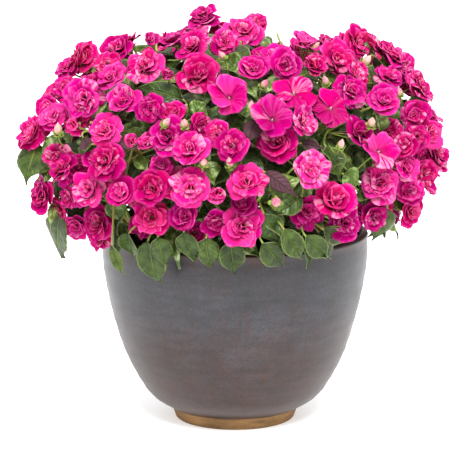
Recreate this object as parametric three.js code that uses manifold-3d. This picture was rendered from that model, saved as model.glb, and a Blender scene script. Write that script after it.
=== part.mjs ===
// Double busy lizzie (Impatiens walleriana) growing in a glazed stoneware bowl planter.
// Millimetres, +Z up, front towards -Y. The origin is the middle of the foot ring's underside.
import * as THREE from "three";
import { mergeVertices } from "three/addons/utils/BufferGeometryUtils.js";
import Module from "manifold-3d";

const wasm = await Module();
wasm.setup();

// ---------------------------------------------------------------- driving dimensions
const gap = 0.3; // between pieces that touch

const pot = {
  height: 191,
  rimRadius: 132,
  wall: 9,
  footRadius: 64,
  footHeight: 12.5,
  footTaper: 4,
  footRingWidth: 12,
  footGroove: 0.8, // between the foot ring and the glazed bowl
  recess: 5,
  floorThickness: 14,
  floorBevel: 5,
  drainRadius: 8,
  sides: 36,
  outlineSteps: 10,
  rimSteps: 4,
};
// Outside of the bowl from the foot up: radius at each height.
const bowl = [
  [66, 12.5],
  [84.7, 25],
  [98.3, 45],
  [110.4, 70],
  [120.1, 100],
  [128.3, 135],
  [132.3, 165],
  [131.9, 186.5],
];
const soil = { top: 168, dome: 5, shoulder: 3 };

// The flowers' middles lie on this rounded mound.
const mound = { radius: 197, middle: 282, above: 112, below: 130 };
// They face away from the plant's heart, and lean a little to the light and to the open front.
const heartHeight = 200;
const lean = { light: 0.12, front: 0.4 };

// All stems fan out from one point below the soil, steeper at first than further on.
const fan = { height: 120, rooting: 15, reach: 0.6, uprightAtFoot: 10 };
const stem = { radius: 3.4, knuckle: 4.8, sides: 6, steps: 4 };
const stalk = { radius: 1.1, sides: 5, steps: 4, straightToFlower: 22, straightToLeaf: 10 };
// Rings of stems: how many, their slope and the turn of the first one, in degrees.
const stemRings = [
  { count: 7, slope: 35, turn: 12 },
  { count: 4, slope: 62, turn: 40 },
  { count: 1, slope: 90, turn: 0 },
];

// A grower stands here, in front of the pot, and sets out the front of the plant by eye: each
// place below is millimetres across and up, in the upright plane through the pot's middle.
const grower = new THREE.Vector3(-5, -2080, 577);

// Front flowers: across, up, width.
const frontDoubles = [
  [-32, 400, 36],
  [69, 376, 36],
  [-88, 354, 40],
  [-156, 360, 38],
  [-36, 345, 42],
  [18, 350, 36],
  [155, 365, 42],
  [185, 333, 36],
  [-183, 324, 32],
  [-110, 319, 40],
  [-202, 288, 38],
  [-129, 261, 40],
  [-45, 272, 40],
  [74, 250, 42],
  [203, 265, 36],
  [-192, 223, 38],
  [-137, 197, 38],
  [-82, 233, 40],
  [12, 239, 38],
  [8, 192, 42],
  [110, 197, 36],
];
const frontSingles = [
  [37, 301, 44],
  [95, 313, 42],
  [143, 269, 44],
];
// Back flowers: rings of them, by slope up the mound and turn about the pot, in degrees.
const backDoubles = {
  width: 40,
  rings: [
    { slope: 4, turns: [16, 53, 90, 127, 164] },
    { slope: 44, turns: [38, 90, 142] },
  ],
};
// One closed bud among the front flowers. Its length is in widths.
const bud = { place: [41, 218], width: 11, length: 1.3 };

// Leaves that hang over the rim in front: across and up of the stalk end and of the tip.
const frontLeaves = [
  { from: [-106, 186], to: [-104, 161], width: 24 },
  { from: [-87, 178], to: [-80, 130], width: 31 },
  { from: [-51, 187], to: [-43, 157], width: 24 },
  { from: [-29, 181], to: [-27, 147], width: 25 },
  { from: [-5, 178], to: [1, 141], width: 25 },
  { from: [28, 176], to: [51, 149], width: 25 },
  { from: [84, 187], to: [96, 158], width: 25 },
];
// Leaves that hang at the sides and back: turns about the pot and swing in degrees, and heights.
const aroundLeaves = { turns: [22, 68, 112, 158], swing: 4, from: 208, to: 162, width: 28 };
const leafRadius = { stalkEnd: 168, tip: 156 }; // from the pot's middle
const leaf = { thickness: 0.8, across: 2, along: 5, stalkWidth: 2.4, fold: 0.22, droop: 5 };

// Half outlines of the blooms, from the stalk end to the middle of the face, in bloom radii.
const doubleOutline = [
  [0, -0.46],
  [0.3, -0.4],
  [0.92, -0.02],
  [1, 0.08],
  [0.66, 0.16],
  [0.42, 0.36],
  [0, 0.4],
];
const singleOutline = [
  [0, -0.3],
  [0.22, -0.22],
  [0.8, -0.03],
  [1, 0.02],
  [0.55, 0.1],
  [0, 0.02],
];
const petals = 5;
const edgesPerPetal = 3;
// How deep the petals are cut and how far their edges wave, in bloom radii.
const doublePetals = { cut: 0.16, wave: 0.05 };
const singlePetals = { cut: 0.34, wave: -0.06 };

// ---------------------------------------------------------------- finishes
const finishes = {
  glaze: new THREE.MeshStandardMaterial({ color: 0x5c5653, roughness: 0.28, metalness: 0 }),
  soil: new THREE.MeshStandardMaterial({ color: 0x33261c, roughness: 0.95, metalness: 0 }),
  stem: new THREE.MeshStandardMaterial({ color: 0x7f9a4a, roughness: 0.5, metalness: 0 }),
  petal: new THREE.MeshStandardMaterial({ color: 0xe3138b, roughness: 0.55, metalness: 0 }),
  leaf: new THREE.MeshStandardMaterial({ color: 0x47682f, roughness: 0.45, metalness: 0 }),
  bud: new THREE.MeshStandardMaterial({ color: 0xe79ab8, roughness: 0.55, metalness: 0 }),
};

// ---------------------------------------------------------------- directions and sight lines
const upright = new THREE.Vector3(0, 0, 1);
const fanPoint = new THREE.Vector3(0, 0, fan.height);

// Unit vector at a slope above level and a turn about Z, in degrees.
function direction(slope, turn) {
  const rise = THREE.MathUtils.degToRad(slope);
  const around = THREE.MathUtils.degToRad(turn);
  const flat = Math.cos(rise);
  return new THREE.Vector3(flat * Math.cos(around), flat * Math.sin(around), Math.sin(rise));
}

// Where a line crosses an ellipsoid about middle: side -1 is the near crossing, 1 the far one.
// A line that just misses takes its nearest point.
function crossing(from, step, middle, radii, side) {
  const start = from.clone().sub(middle).divide(radii);
  const stride = step.clone().divide(radii);
  const a = stride.dot(stride);
  const b = start.dot(stride);
  const c = start.dot(start) - 1;
  const along = (-b + side * Math.sqrt(Math.max(0, b * b - a * c))) / a;
  return from.clone().addScaledVector(step, along);
}

// Where a line crosses the mound, whose upper and lower halves differ in height.
function onMound(from, step, side) {
  const middle = new THREE.Vector3(0, 0, mound.middle);
  const [high, low] = [mound.above, mound.below].map((halfHeight) => {
    const radii = new THREE.Vector3(mound.radius, mound.radius, halfHeight);
    return crossing(from, step, middle, radii, side);
  });
  return high.z >= mound.middle ? high : low;
}

const sightTo = (across, up) => new THREE.Vector3(across, 0, up).sub(grower);

const onFront = (across, up) => onMound(grower, sightTo(across, up), -1);

// The grower's place across and up, on the near side of an upright cylinder about the pot.
function onCylinder(across, up, radius) {
  const radii = new THREE.Vector3(radius, radius, Infinity);
  return crossing(grower, sightTo(across, up), new THREE.Vector3(), radii, -1);
}

// ---------------------------------------------------------------- solids
// A geometry's closed surface as a manifold-3d solid.
function solidOf(geometry) {
  const bare = geometry.clone();
  bare.deleteAttribute("normal");
  bare.deleteAttribute("uv");
  const merged = mergeVertices(bare, 1e-3);
  const mesh = new wasm.Mesh({
    numProp: 3,
    vertProperties: merged.attributes.position.array,
    triVerts: new Uint32Array(merged.index.array),
  });
  return new wasm.Manifold(mesh);
}

// A manifold-3d solid as a geometry.
function geometryOf(solid) {
  const { vertProperties, triVerts } = solid.getMesh();
  const geometry = new THREE.BufferGeometry();
  geometry.setAttribute("position", new THREE.BufferAttribute(vertProperties, 3));
  geometry.setIndex(new THREE.BufferAttribute(triVerts, 1));
  geometry.computeVertexNormals();
  return geometry;
}

// Shape turned about Z from [radius, height] points.
function turned(outline, sides) {
  const points = outline.map(([radius, height]) => new THREE.Vector2(radius, height));
  return new THREE.LatheGeometry(points, sides).rotateX(Math.PI / 2);
}

// Rod of a regular section along a curve.
function rod(curve, radius, sides, steps) {
  const corners = Array.from({ length: sides }, (_, side) => {
    const angle = (2 * Math.PI * side) / sides;
    return new THREE.Vector2(radius * Math.cos(angle), radius * Math.sin(angle));
  });
  return new THREE.ExtrudeGeometry(new THREE.Shape(corners), { steps, extrudePath: curve });
}

// ---------------------------------------------------------------- pot and soil
const potFloor = pot.recess + pot.floorThickness;

// The bowl's outline moved inwards by a distance, as [radius, height] points.
function bowlOutline(inwards) {
  const points = bowl.map(([radius, height]) => new THREE.Vector2(radius, height));
  const curve = new THREE.SplineCurve(points);
  const outline = [];
  for (let step = 0; step <= pot.outlineSteps; step++) {
    const point = curve.getPoint(step / pot.outlineSteps);
    const along = curve.getTangent(step / pot.outlineSteps);
    outline.push([point.x - inwards * along.y, point.y + inwards * along.x]);
  }
  return outline;
}

// The bowl's inside, from its bevelled floor corner up to a height.
function insideOutline(inwards, floor, top) {
  const side = bowlOutline(inwards).filter(([, height]) => height > floor && height < top);
  return [[side[0][0] - pot.floorBevel, floor], ...side];
}

// The round rim's points between the outside and the inside.
function rimOutline() {
  const half = pot.wall / 2;
  const outline = [];
  for (let step = 1; step < pot.rimSteps; step++) {
    const angle = (Math.PI * step) / pot.rimSteps;
    const radius = pot.rimRadius - half + half * Math.cos(angle);
    outline.push([radius, pot.height - half + half * Math.sin(angle)]);
  }
  return outline;
}

function makePot() {
  const footEdge = pot.footRadius - pot.footTaper;
  const outline = [
    [pot.drainRadius, pot.recess],
    [footEdge - pot.footRingWidth, pot.recess],
    [footEdge - pot.footRingWidth, 0],
    [footEdge, 0],
    [pot.footRadius, pot.footHeight - pot.footGroove],
    ...bowlOutline(0),
    ...rimOutline(),
    ...insideOutline(pot.wall, potFloor, pot.height).reverse(),
    [pot.drainRadius, potFloor],
    [pot.drainRadius, pot.recess],
  ];
  return turned(outline, pot.sides);
}

// The root ball and loose top soil, with a pocket for each stem.
function makeSoil(stems) {
  const floor = potFloor + gap;
  const side = insideOutline(pot.wall + gap, floor, soil.top - soil.shoulder);
  const edge = side.at(-1)[0];
  const outline = [[0, floor], ...side, [edge, soil.top], [0, soil.top + soil.dome]];
  let solid = solidOf(turned(outline, pot.sides));
  for (const { curve } of stems) {
    const start = curve.getPoint(0);
    const below = start.clone().addScaledVector(curve.getTangent(0), -gap);
    const pocket = new THREE.CatmullRomCurve3([below, start, ...curve.points.slice(1)]);
    solid = solid.subtract(solidOf(rod(pocket, stem.radius + gap, stem.sides, stem.steps)));
  }
  return geometryOf(solid);
}

// ---------------------------------------------------------------- blooms, bud and leaves
// Five-petalled bloom that faces +Z, with its stalk end at -Z.
function makeBloom(outline, width, { cut, wave }) {
  const radius = width / 2;
  const geometry = turned(outline, petals * edgesPerPetal);
  const place = geometry.attributes.position;
  for (let i = 0; i < place.count; i++) {
    const [x, y, z] = [place.getX(i), place.getY(i), place.getZ(i)];
    const out = Math.hypot(x, y);
    const lobe = Math.cos(petals * Math.atan2(y, x));
    const spread = radius * (1 - (cut * out * (1 - lobe)) / 2);
    place.setXYZ(i, x * spread, y * spread, radius * (z + wave * out * out * lobe));
  }
  return geometry;
}

// Closed egg-shaped bud along Z.
function makeBud() {
  const ball = new THREE.SphereGeometry(bud.width / 2, 8, 6);
  return ball.rotateX(Math.PI / 2).scale(1, 1, bud.length);
}

// How wide a leaf is at a part of its length: widest before the middle, drawn out to a tip.
const leafSwell = (part) => Math.sin(Math.PI * part ** 0.75) ** 0.8;

// Leaf along +Y from its stalk end, upper face to +Z, folded along the midrib and drooping.
function makeLeaf(length, width) {
  const geometry = new THREE.BoxGeometry(1, 1, leaf.thickness, leaf.across, leaf.along, 1);
  const place = geometry.attributes.position;
  for (let i = 0; i < place.count; i++) {
    const part = place.getY(i) + 0.5; // the box runs from -0.5 to 0.5
    const x = place.getX(i) * Math.max(leaf.stalkWidth, width * leafSwell(part));
    const z = place.getZ(i) + leaf.fold * Math.abs(x) - leaf.droop * part * part;
    place.setXYZ(i, x, part * length, z);
  }
  return geometry;
}

// ---------------------------------------------------------------- stems
const numbered = (name, number) => `${name}_${String(number).padStart(2, "0")}`;

// One stem's route from the soil to its fork, and the stalks it will carry.
function planStem(slope, turn) {
  const along = direction(slope, turn);
  const fork = onMound(fanPoint, along, 1).sub(fanPoint).multiplyScalar(fan.reach).add(fanPoint);
  const reach = fork.distanceTo(fanPoint);
  const steeper = Math.min(fan.uprightAtFoot, 90 - slope);
  const rise = soil.top - fan.rooting - fan.height;
  const first = rise / (reach * direction(slope + steeper, turn).z);
  const points = [];
  for (let step = 0; step <= stem.steps; step++) {
    const part = THREE.MathUtils.lerp(first, 1, step / stem.steps);
    const towards = direction(slope + steeper * (1 - part), turn);
    points.push(fanPoint.clone().addScaledVector(towards, reach * part));
  }
  return { along, fork, curve: new THREE.CatmullRomCurve3(points), carried: [] };
}

function planStems() {
  const stems = [];
  for (const { count, slope, turn } of stemRings) {
    for (let k = 0; k < count; k++) stems.push(planStem(slope, turn + (360 * k) / count));
  }
  return stems;
}

// Gives a stalk to the stem that points nearest to its end. It ends straight along arriving.
function carry(stems, end, arriving, straight) {
  const along = end.clone().sub(fanPoint).normalize();
  const nearer = (best, one) => (one.along.dot(along) > best.along.dot(along) ? one : best);
  stems.reduce(nearer).carried.push({ end, arriving, straight });
}

// A stem with its knuckle at the fork and the stalks that spring from there.
function makeStem({ curve, fork, carried }) {
  const knuckle = new THREE.IcosahedronGeometry(stem.knuckle).translate(...fork);
  let solid = solidOf(rod(curve, stem.radius, stem.sides, stem.steps)).add(solidOf(knuckle));
  for (const { end, arriving, straight } of carried) {
    const back = Math.min(straight, end.distanceTo(fork) / 3);
    const bend = end.clone().addScaledVector(arriving, -back);
    const route = new THREE.QuadraticBezierCurve3(fork, bend, end);
    solid = solid.add(solidOf(rod(route, stalk.radius, stalk.sides, stalk.steps)));
  }
  return geometryOf(solid);
}

// ---------------------------------------------------------------- assembly
function addMesh(group, name, geometry, finish) {
  const mesh = new THREE.Mesh(geometry, finish);
  mesh.name = name;
  group.add(mesh);
  return mesh;
}

// The way a bloom at a place faces.
function facingAt(place, towardsFront) {
  const open = grower.clone().sub(place).normalize();
  const away = place.clone().setZ(place.z - heartHeight).normalize();
  return away.addScaledVector(open, towardsFront).addScaledVector(upright, lean.light).normalize();
}

// Puts a bloom or bud at a place on its stalk. Depth is from its middle to its stalk end.
function addBloom(plant, stems, name, geometry, finish, place, towardsFront, depth) {
  const facing = facingAt(place, towardsFront);
  const mesh = addMesh(plant, name, geometry, finish);
  mesh.position.copy(place);
  mesh.quaternion.setFromUnitVectors(upright, facing);
  const end = place.clone().addScaledVector(facing, -depth - gap);
  carry(stems, end, facing, stalk.straightToFlower);
}

function addDoubles(plant, stems) {
  const placed = frontDoubles.map(([across, up, width]) => ({
    place: onFront(across, up),
    width,
    towardsFront: lean.front,
  }));
  for (const { slope, turns } of backDoubles.rings) {
    for (const turn of turns) {
      const place = direction(slope, turn).multiply({ x: mound.radius, y: mound.radius, z: mound.above });
      place.z += mound.middle;
      placed.push({ place, width: backDoubles.width, towardsFront: 0 });
    }
  }
  placed.forEach(({ place, width, towardsFront }, k) => {
    const geometry = makeBloom(doubleOutline, width, doublePetals);
    const depth = (-doubleOutline[0][1] * width) / 2;
    const name = numbered("double_flower", k + 1);
    addBloom(plant, stems, name, geometry, finishes.petal, place, towardsFront, depth);
  });
}

function addSingles(plant, stems) {
  frontSingles.forEach(([across, up, width], k) => {
    const geometry = makeBloom(singleOutline, width, singlePetals);
    const depth = (-singleOutline[0][1] * width) / 2;
    const name = numbered("single_flower", k + 1);
    addBloom(plant, stems, name, geometry, finishes.petal, onFront(across, up), lean.front, depth);
  });
}

function addBud(plant, stems) {
  const depth = (bud.width * bud.length) / 2;
  addBloom(plant, stems, "bud_01", makeBud(), finishes.bud, onFront(...bud.place), lean.front, depth);
}

// Puts a leaf from its stalk end to its tip, with its upper face outwards.
function addLeaf(plant, stems, name, from, to, width) {
  const along = to.clone().sub(from).normalize();
  const side = along.clone().cross(from.clone().setZ(0)).normalize();
  const face = side.clone().cross(along);
  const mesh = addMesh(plant, name, makeLeaf(from.distanceTo(to), width), finishes.leaf);
  mesh.position.copy(from);
  mesh.quaternion.setFromRotationMatrix(new THREE.Matrix4().makeBasis(side, along, face));
  // The stalk comes from inside the plant, halfway between the leaf's length and its face.
  const arriving = along.clone().add(face).normalize();
  carry(stems, from.clone().addScaledVector(arriving, -2 * gap), arriving, stalk.straightToLeaf);
}

function addLeaves(plant, stems) {
  const { turns, swing, width } = aroundLeaves;
  const front = frontLeaves.map(({ from, to, width }) => ({
    from: onCylinder(...from, leafRadius.stalkEnd),
    to: onCylinder(...to, leafRadius.tip),
    width,
  }));
  const around = turns.map((turn) => ({
    from: direction(0, turn).multiplyScalar(leafRadius.stalkEnd).setZ(aroundLeaves.from),
    to: direction(0, turn + swing).multiplyScalar(leafRadius.tip).setZ(aroundLeaves.to),
    width,
  }));
  [...front, ...around].forEach(({ from, to, width }, k) => {
    addLeaf(plant, stems, numbered("leaf", k + 1), from, to, width);
  });
}

function makePlant(stems) {
  const plant = new THREE.Group();
  addDoubles(plant, stems);
  addSingles(plant, stems);
  addBud(plant, stems);
  addLeaves(plant, stems);
  stems.forEach((one, k) => addMesh(plant, numbered("stem", k + 1), makeStem(one), finishes.stem));
  return plant;
}

function makePlanter(stems) {
  const planter = new THREE.Group();
  addMesh(planter, "pot", makePot(), finishes.glaze);
  addMesh(planter, "potting_soil", makeSoil(stems), finishes.soil);
  return planter;
}

const stems = planStems();
const group = new THREE.Group();
group.add(makePlanter(stems), makePlant(stems));

export default group;
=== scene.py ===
"""A double busy lizzie in full flower, in a bowl-shaped stoneware planter on a pale studio floor.

Metres, +Z up, front towards -Y. The origin is the middle of the foot ring's underside.
"""
import math
from functools import partial
from types import SimpleNamespace

import bpy
import numpy as np
from bpy.props import FloatProperty, FloatVectorProperty, IntProperty, PointerProperty
from mathutils import Matrix, Vector


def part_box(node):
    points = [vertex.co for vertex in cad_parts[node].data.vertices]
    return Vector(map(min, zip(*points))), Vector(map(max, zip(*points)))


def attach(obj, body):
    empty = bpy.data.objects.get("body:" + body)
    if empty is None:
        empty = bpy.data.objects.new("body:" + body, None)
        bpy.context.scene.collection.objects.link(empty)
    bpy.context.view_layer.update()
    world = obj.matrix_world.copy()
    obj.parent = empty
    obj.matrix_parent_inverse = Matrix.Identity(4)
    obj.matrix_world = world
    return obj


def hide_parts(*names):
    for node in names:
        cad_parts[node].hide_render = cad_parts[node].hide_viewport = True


bl_info = {
    "name": "Potted busy lizzie",
    "version": (1, 0, 0),
    "blender": (4, 5, 0),
    "location": "3D View > Sidebar > Busy lizzie",
    "description": "Makes a double busy lizzie in its stoneware planter, piece by piece",
    "category": "Object",
}

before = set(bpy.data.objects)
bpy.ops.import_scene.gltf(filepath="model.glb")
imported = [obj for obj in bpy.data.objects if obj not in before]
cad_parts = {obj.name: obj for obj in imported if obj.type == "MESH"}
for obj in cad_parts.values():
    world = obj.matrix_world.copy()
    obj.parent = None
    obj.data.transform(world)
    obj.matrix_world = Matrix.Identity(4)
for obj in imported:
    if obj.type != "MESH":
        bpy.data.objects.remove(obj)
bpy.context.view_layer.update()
pot_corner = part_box("pot")[1]

BODY = "root"
TURN = 2 * math.pi
GOLDEN_TURN = math.pi * (3 - math.sqrt(5))
UP = np.array((0.0, 0.0, 1.0))


def linear(colour):
    """An sRGB hex colour as linear red, green and blue."""
    parts = (int(colour[k : k + 2], 16) / 255 for k in (1, 3, 5))
    return tuple(c / 12.92 if c <= 0.04045 else ((c + 0.055) / 1.055) ** 2.4 for c in parts)


# ---------------------------------------------------------------- settings
def number(name, description, default, **more):
    """A number that a user may change."""
    return FloatProperty(name=name, description=description, default=default, **more)


def length(name, description, default):
    """A length that a user may change, in metres."""
    return number(name, description, default, unit="LENGTH", precision=4)


def colour(name, description, default):
    """A colour that a user may change, from its sRGB hex value."""
    return FloatVectorProperty(
        name=name, description=description, default=linear(default), subtype="COLOR", min=0, max=1
    )


class LIZZIE_PG_planter(bpy.types.PropertyGroup):
    """Sizes and colours of the planter and its soil"""

    height: length("Height", "From the underside of the foot to the top of the rim", pot_corner.z)
    rim_radius: length("Rim radius", "Outside radius of the rim", pot_corner.x)
    wall: length("Wall", "Thickness of the thrown wall", 0.009)
    foot_radius: length("Foot radius", "Radius of the bare foot where it meets the bowl", 0.064)
    foot_height: length("Foot height", "Height of the bare foot", 0.0125)
    soil_top: length("Soil level", "Height of the soil at the wall", 0.168)
    sides: IntProperty(name="Sides", description="Facets around the planter", default=144, min=24)
    glaze: colour("Glaze", "Slate grey of the glaze where it lies thick", "#35353b")
    glaze_iron: colour("Iron", "Brown of the glaze where it runs thin", "#3c2620")
    clay: colour("Clay", "Bare fired clay of the foot", "#9a7850")
    soil: colour("Soil", "Moist potting soil", "#2c2119")


class LIZZIE_PG_plant(bpy.types.PropertyGroup):
    """The mound that the blooms lie on, and the stems under it"""

    mound_radius: length("Mound radius", "From the axis to the middles of the widest blooms", 0.197)
    mound_middle: length("Mound middle", "Height at which the mound is widest", 0.282)
    mound_above: length("Mound above", "Height of the mound above its middle", 0.112)
    mound_below: length("Mound below", "Depth of the mound below its middle", 0.130)
    heart: length("Heart", "Height of the point that all blooms face away from", 0.200)
    fan_height: length("Fan height", "Height of the point under the soil where the stems meet", 0.120)
    stem_radius: length("Stem radius", "Radius of a main stem", 0.0034)
    stalk_radius: length("Stalk radius", "Radius of a flower stalk", 0.0009)
    stem: colour("Stem", "Translucent green of the stems", "#8aa04e")
    stem_blush: colour("Blush", "Red tint near the joints of the stems", "#a8604a")


class LIZZIE_PG_blooms(bpy.types.PropertyGroup):
    """Colours and thickness of the petals"""

    thickness: length("Thickness", "Thickness of a petal", 0.0003)
    mauve: colour("Mauve", "The bluest petals", "#de009c")
    face: colour("Pink", "The petals between the bluest and the reddest", "#f20092")
    rose: colour("Rose", "The reddest petals", "#f40066")
    # Colour of the veins, and of the painted shade at the petals' feet
    deep: colour("Foot", "Feet and veins of the petals", "#9c0040")
    back: colour("Petal back", "Underside of the petals", "#cc1484")
    # Colour of the painted highlight on the petals' thin edges
    edge: colour("Edge", "Thin edges of the petals", "#ff96d4")
    pale: colour("Pale", "White streaks of some petals", "#fcd2e0")
    cream: colour("Cream", "Closed buds", "#c8ac98")
    sepal: colour("Sepal", "Sepals behind the blooms and around the buds", "#9db05a")


class LIZZIE_PG_leaves(bpy.types.PropertyGroup):
    """Sizes and colours of the leaves"""

    thickness: length("Thickness", "Thickness of a leaf", 0.0005)
    long: length("Length", "Length of a full-grown leaf", 0.046)
    face: colour("Leaf face", "Upper face of the leaves", "#446020")
    # Grey-green of the painted sheen on the lighter leaves' waxy skin
    waxy: colour("Waxy leaf", "Upper face of the leaves that a waxy film greys", "#9aa880")
    young: colour("Young leaf", "Upper face of the young leaves at the tips", "#7c9236")
    back: colour("Leaf back", "Underside of the leaves", "#86966a")
    vein: colour("Vein", "Midrib and side veins", "#95a45c")
    flush: colour("Flush", "Purple flush under some of the leaves", "#4e0e36")


class LIZZIE_PG_stage(bpy.types.PropertyGroup):
    """The floor, the lights and the camera"""

    floor: length("Floor", "Side of the square floor", 24.0)
    camera: FloatVectorProperty(
        name="Camera", description="Where the camera stands", default=(-0.005, -2.08, 0.577),
        subtype="TRANSLATION", unit="LENGTH",
    )
    pitch: number("Pitch", "How far the camera looks down", math.radians(10.55), subtype="ANGLE")
    lens: number("Lens", "Focal length in millimetres", 165.9)
    sky_back: number("Sky behind", "Strength of the white behind the plant", 0.6)
    sky_front: number("Sky in front", "Strength of the white before it", 0.7)
    sky_above: number("Sky above", "Strength that the white gains overhead", 0.7)
    key: number("Key light", "Strength of the soft light from above", 3.05)


GROUPS = {
    "planter": LIZZIE_PG_planter,
    "plant": LIZZIE_PG_plant,
    "blooms": LIZZIE_PG_blooms,
    "leaves": LIZZIE_PG_leaves,
    "stage": LIZZIE_PG_stage,
}

# ---------------------------------------------------------------- the planter's shape
# Outside of the bowl from the foot up: radius at each height.
BOWL = (
    (0.0660, 0.0125), (0.0847, 0.0250), (0.0983, 0.0450), (0.1104, 0.0700), (0.1201, 0.1000),
    (0.1283, 0.1350), (0.1323, 0.1650), (0.1319, 0.1865),
)
RECESS = 0.005  # depth of the hollow inside the foot ring
FOOT_TAPER = 0.004  # how much narrower the foot is where it stands
# Profile of the foot ring from its inside out: how far inside the foot's edge, and height.
FOOT_RING = (
    (0.014, RECESS), (0.0122, RECESS - 0.0008), (0.012, 0.0006), (0.0112, 0.0), (0.0008, 0.0), (0.0, 0.0008),
)
FOOT_TOP = ((0.0004, 0.0014), (0.0, 0.0008))  # and of its top: how far inside its edge and below
GLAZE_LINE = 0.0004  # how far below the top of the foot the glaze ends
# A thrown wall is never quite even: it has broad rings 10 mm apart, and waves around and upwards.
THROWN_RINGS = 0.00025
THROWN_WAVE = 0.0002
FLOOR = 0.019
FLOOR_BEVEL = 0.003  # how far above the floor the wall's inside starts to curve in
FLOOR_EDGE = 0.004  # how far the floor's flat part ends before the wall
DRAIN_RADIUS = 0.008
# The soil: how far it stays from the pot, how much it rises to its middle, and its loose bits of
# bark, their number and their half widths.
SOIL_GAP = 0.0003
SOIL_DOME = 0.005
SOIL_TIP = 0.002  # radius of the flat middle of the soil's dome
SOIL_SIDES = 84
SOIL_RELIEF = 0.0012  # how far its top strays up and down
CRUMBS = 170
CRUMB_SIZES = (0.0012, 0.0042)

# ---------------------------------------------------------------- the plant's habit
# Rings of stems: how many, their slope and the turn of the first one, in degrees.
STEM_RINGS = ((7, 35, 12), (4, 62, 40), (1, 90, 0))
FORK_REACH = 0.6  # where a stem forks, between the fan point and the mound
UPRIGHT_AT_FOOT = 10  # degrees that a stem starts steeper
ROOTING = 0.015  # depth of the stems' feet in the soil
STEM_TAPER = (1.15, 0.8)  # at the foot and at the fork, in stem radii
# The knuckle at a fork: places along the stem, and its radius there in stem radii.
KNUCKLE = ((-0.003, 0.7), (0.0, 1.25), (0.004, 0.6))
# Leafy shoots: how many, and how far towards the mound they reach.
SHOOTS = ((72, 0.85), (50, 0.70), (20, 0.50))
SHOOT_RADII = (0.0021, 0.0011)  # at the fork and at the tip
LEAVES_PER_SHOOT = 6
LEAF_STEP = 0.006  # between the leaves of a shoot
LEAF_DROPS = (0.0, 0.008, 0.016)  # how much further back one may sit to keep clear
# How the leaves of a shoot vary: how far they open from it in degrees, their length as a part of
# a full-grown leaf's, and their width as a part of that.
SHOOT_VARIES = SimpleNamespace(open=(62, 86), size=(0.65, 1.1), width=(0.5, 0.62))
# Stalks of blooms, buds and leaves: how far each runs straight to what it carries, and its radius
# in those of a bloom's stalk.
STALKS = {"bloom": (0.022, 1.0), "bud": (0.014, 0.8), "leaf": (0.012, 1.2)}
LONGEST_LEAF = 0.050
# How far a bloom leans to the light above and to the open front, as parts of its outward turn.
LEAN_TO_LIGHT = 0.12
LEAN_TO_FRONT = 0.4
LEAN_OF_OTHERS = 0.9  # to the front, of the listed blooms that no CAD node stands for
LEAN_OF_DEEP = 0.2
LEAN_OF_LEAVES = 1.5
# Dips in the plant's outline as the camera sees it, which the spread blooms keep out of: across,
# up and radius.
HOLLOWS = (
    (0.050, 0.404, 0.042), (-0.092, 0.400, 0.030), (0.090, 0.404, 0.030), (-0.058, 0.410, 0.026),
)
SINKING = (1.0, 0.92, 0.84, 0.76, 0.68)  # how deep a bloom in a dip may lie, in the mound
# Blooms keep at least this share of their two radii between their middles: those listed, those
# spread over the mound, and the deep ones, which also keep under_leaf from a leaf's middle.
ROOM = SimpleNamespace(by_eye=0.74, spread=0.84, deep=0.72, under_leaf=0.022)
# Leaves of the shoots keep clear of the planter's rim, this far above, inside and outside of it.
RIM_ROOM = SimpleNamespace(above=0.008, inside=0.018, outside=0.008)
# A leaf hides a bloom from this far behind its middle, in its widths, to this far before it.
HIDDEN_FROM = -0.15
HIDDEN_TO = 0.03
# Places spread over the mound that blooms take where there is room. The deep ones lie nearer to
# the heart. LATTICE_FOOT is the lowest part of the mound that carries any, in its depth.
SPREAD_BLOOMS = 260
SPREAD_WIDTHS = (0.035, 0.044)
DEEP_BLOOMS = 230
DEEP_WIDTHS = (0.030, 0.036)
DEEP_SCALE = 0.9
LATTICE_FOOT = -0.62
FRONT_SHARE = 0.22  # how squarely a place may face the camera before its bloom is one of those listed
SINGLES_BELOW = 0.08  # of draws from 0 to 1, those that give a single bloom
HALVES_BELOW = 0.15  # and above those, the ones that give a half-open bloom
HALF_OPEN_WIDTH = 0.65  # of an open bloom's
SMALL_BLOOM = 0.035  # below this width a bloom's petals do with fewer points
STRIPED = 0.05  # share of the blooms whose petals are all streaked with white
PALE_PETALS = 0.14  # share of the petals that are streaked with white in the other blooms

# Blooms of the front, listed as seen from where the camera stands. Each place is metres across
# and up, in the upright plane through the planter's axis, and then the bloom's width. A bloom
# that doesn't face straight out has the direction in which it tips, in degrees from the right
# and counterclockwise, and how far it tips.
FRONT_DOUBLES = (
    (-0.032, 0.400, 0.036), (0.069, 0.376, 0.036), (-0.088, 0.354, 0.040),
    (-0.156, 0.360, 0.038, 150, 35), (-0.036, 0.345, 0.042), (0.018, 0.350, 0.036),
    (0.155, 0.365, 0.042), (0.185, 0.333, 0.036), (-0.183, 0.324, 0.032), (-0.110, 0.319, 0.040),
    (-0.202, 0.288, 0.038), (-0.129, 0.261, 0.040), (-0.045, 0.272, 0.040), (0.074, 0.250, 0.042),
    (0.203, 0.265, 0.036), (-0.192, 0.223, 0.038), (-0.137, 0.197, 0.038), (-0.082, 0.233, 0.040),
    (0.012, 0.239, 0.038), (0.008, 0.192, 0.042), (0.110, 0.197, 0.036),
)
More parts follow.
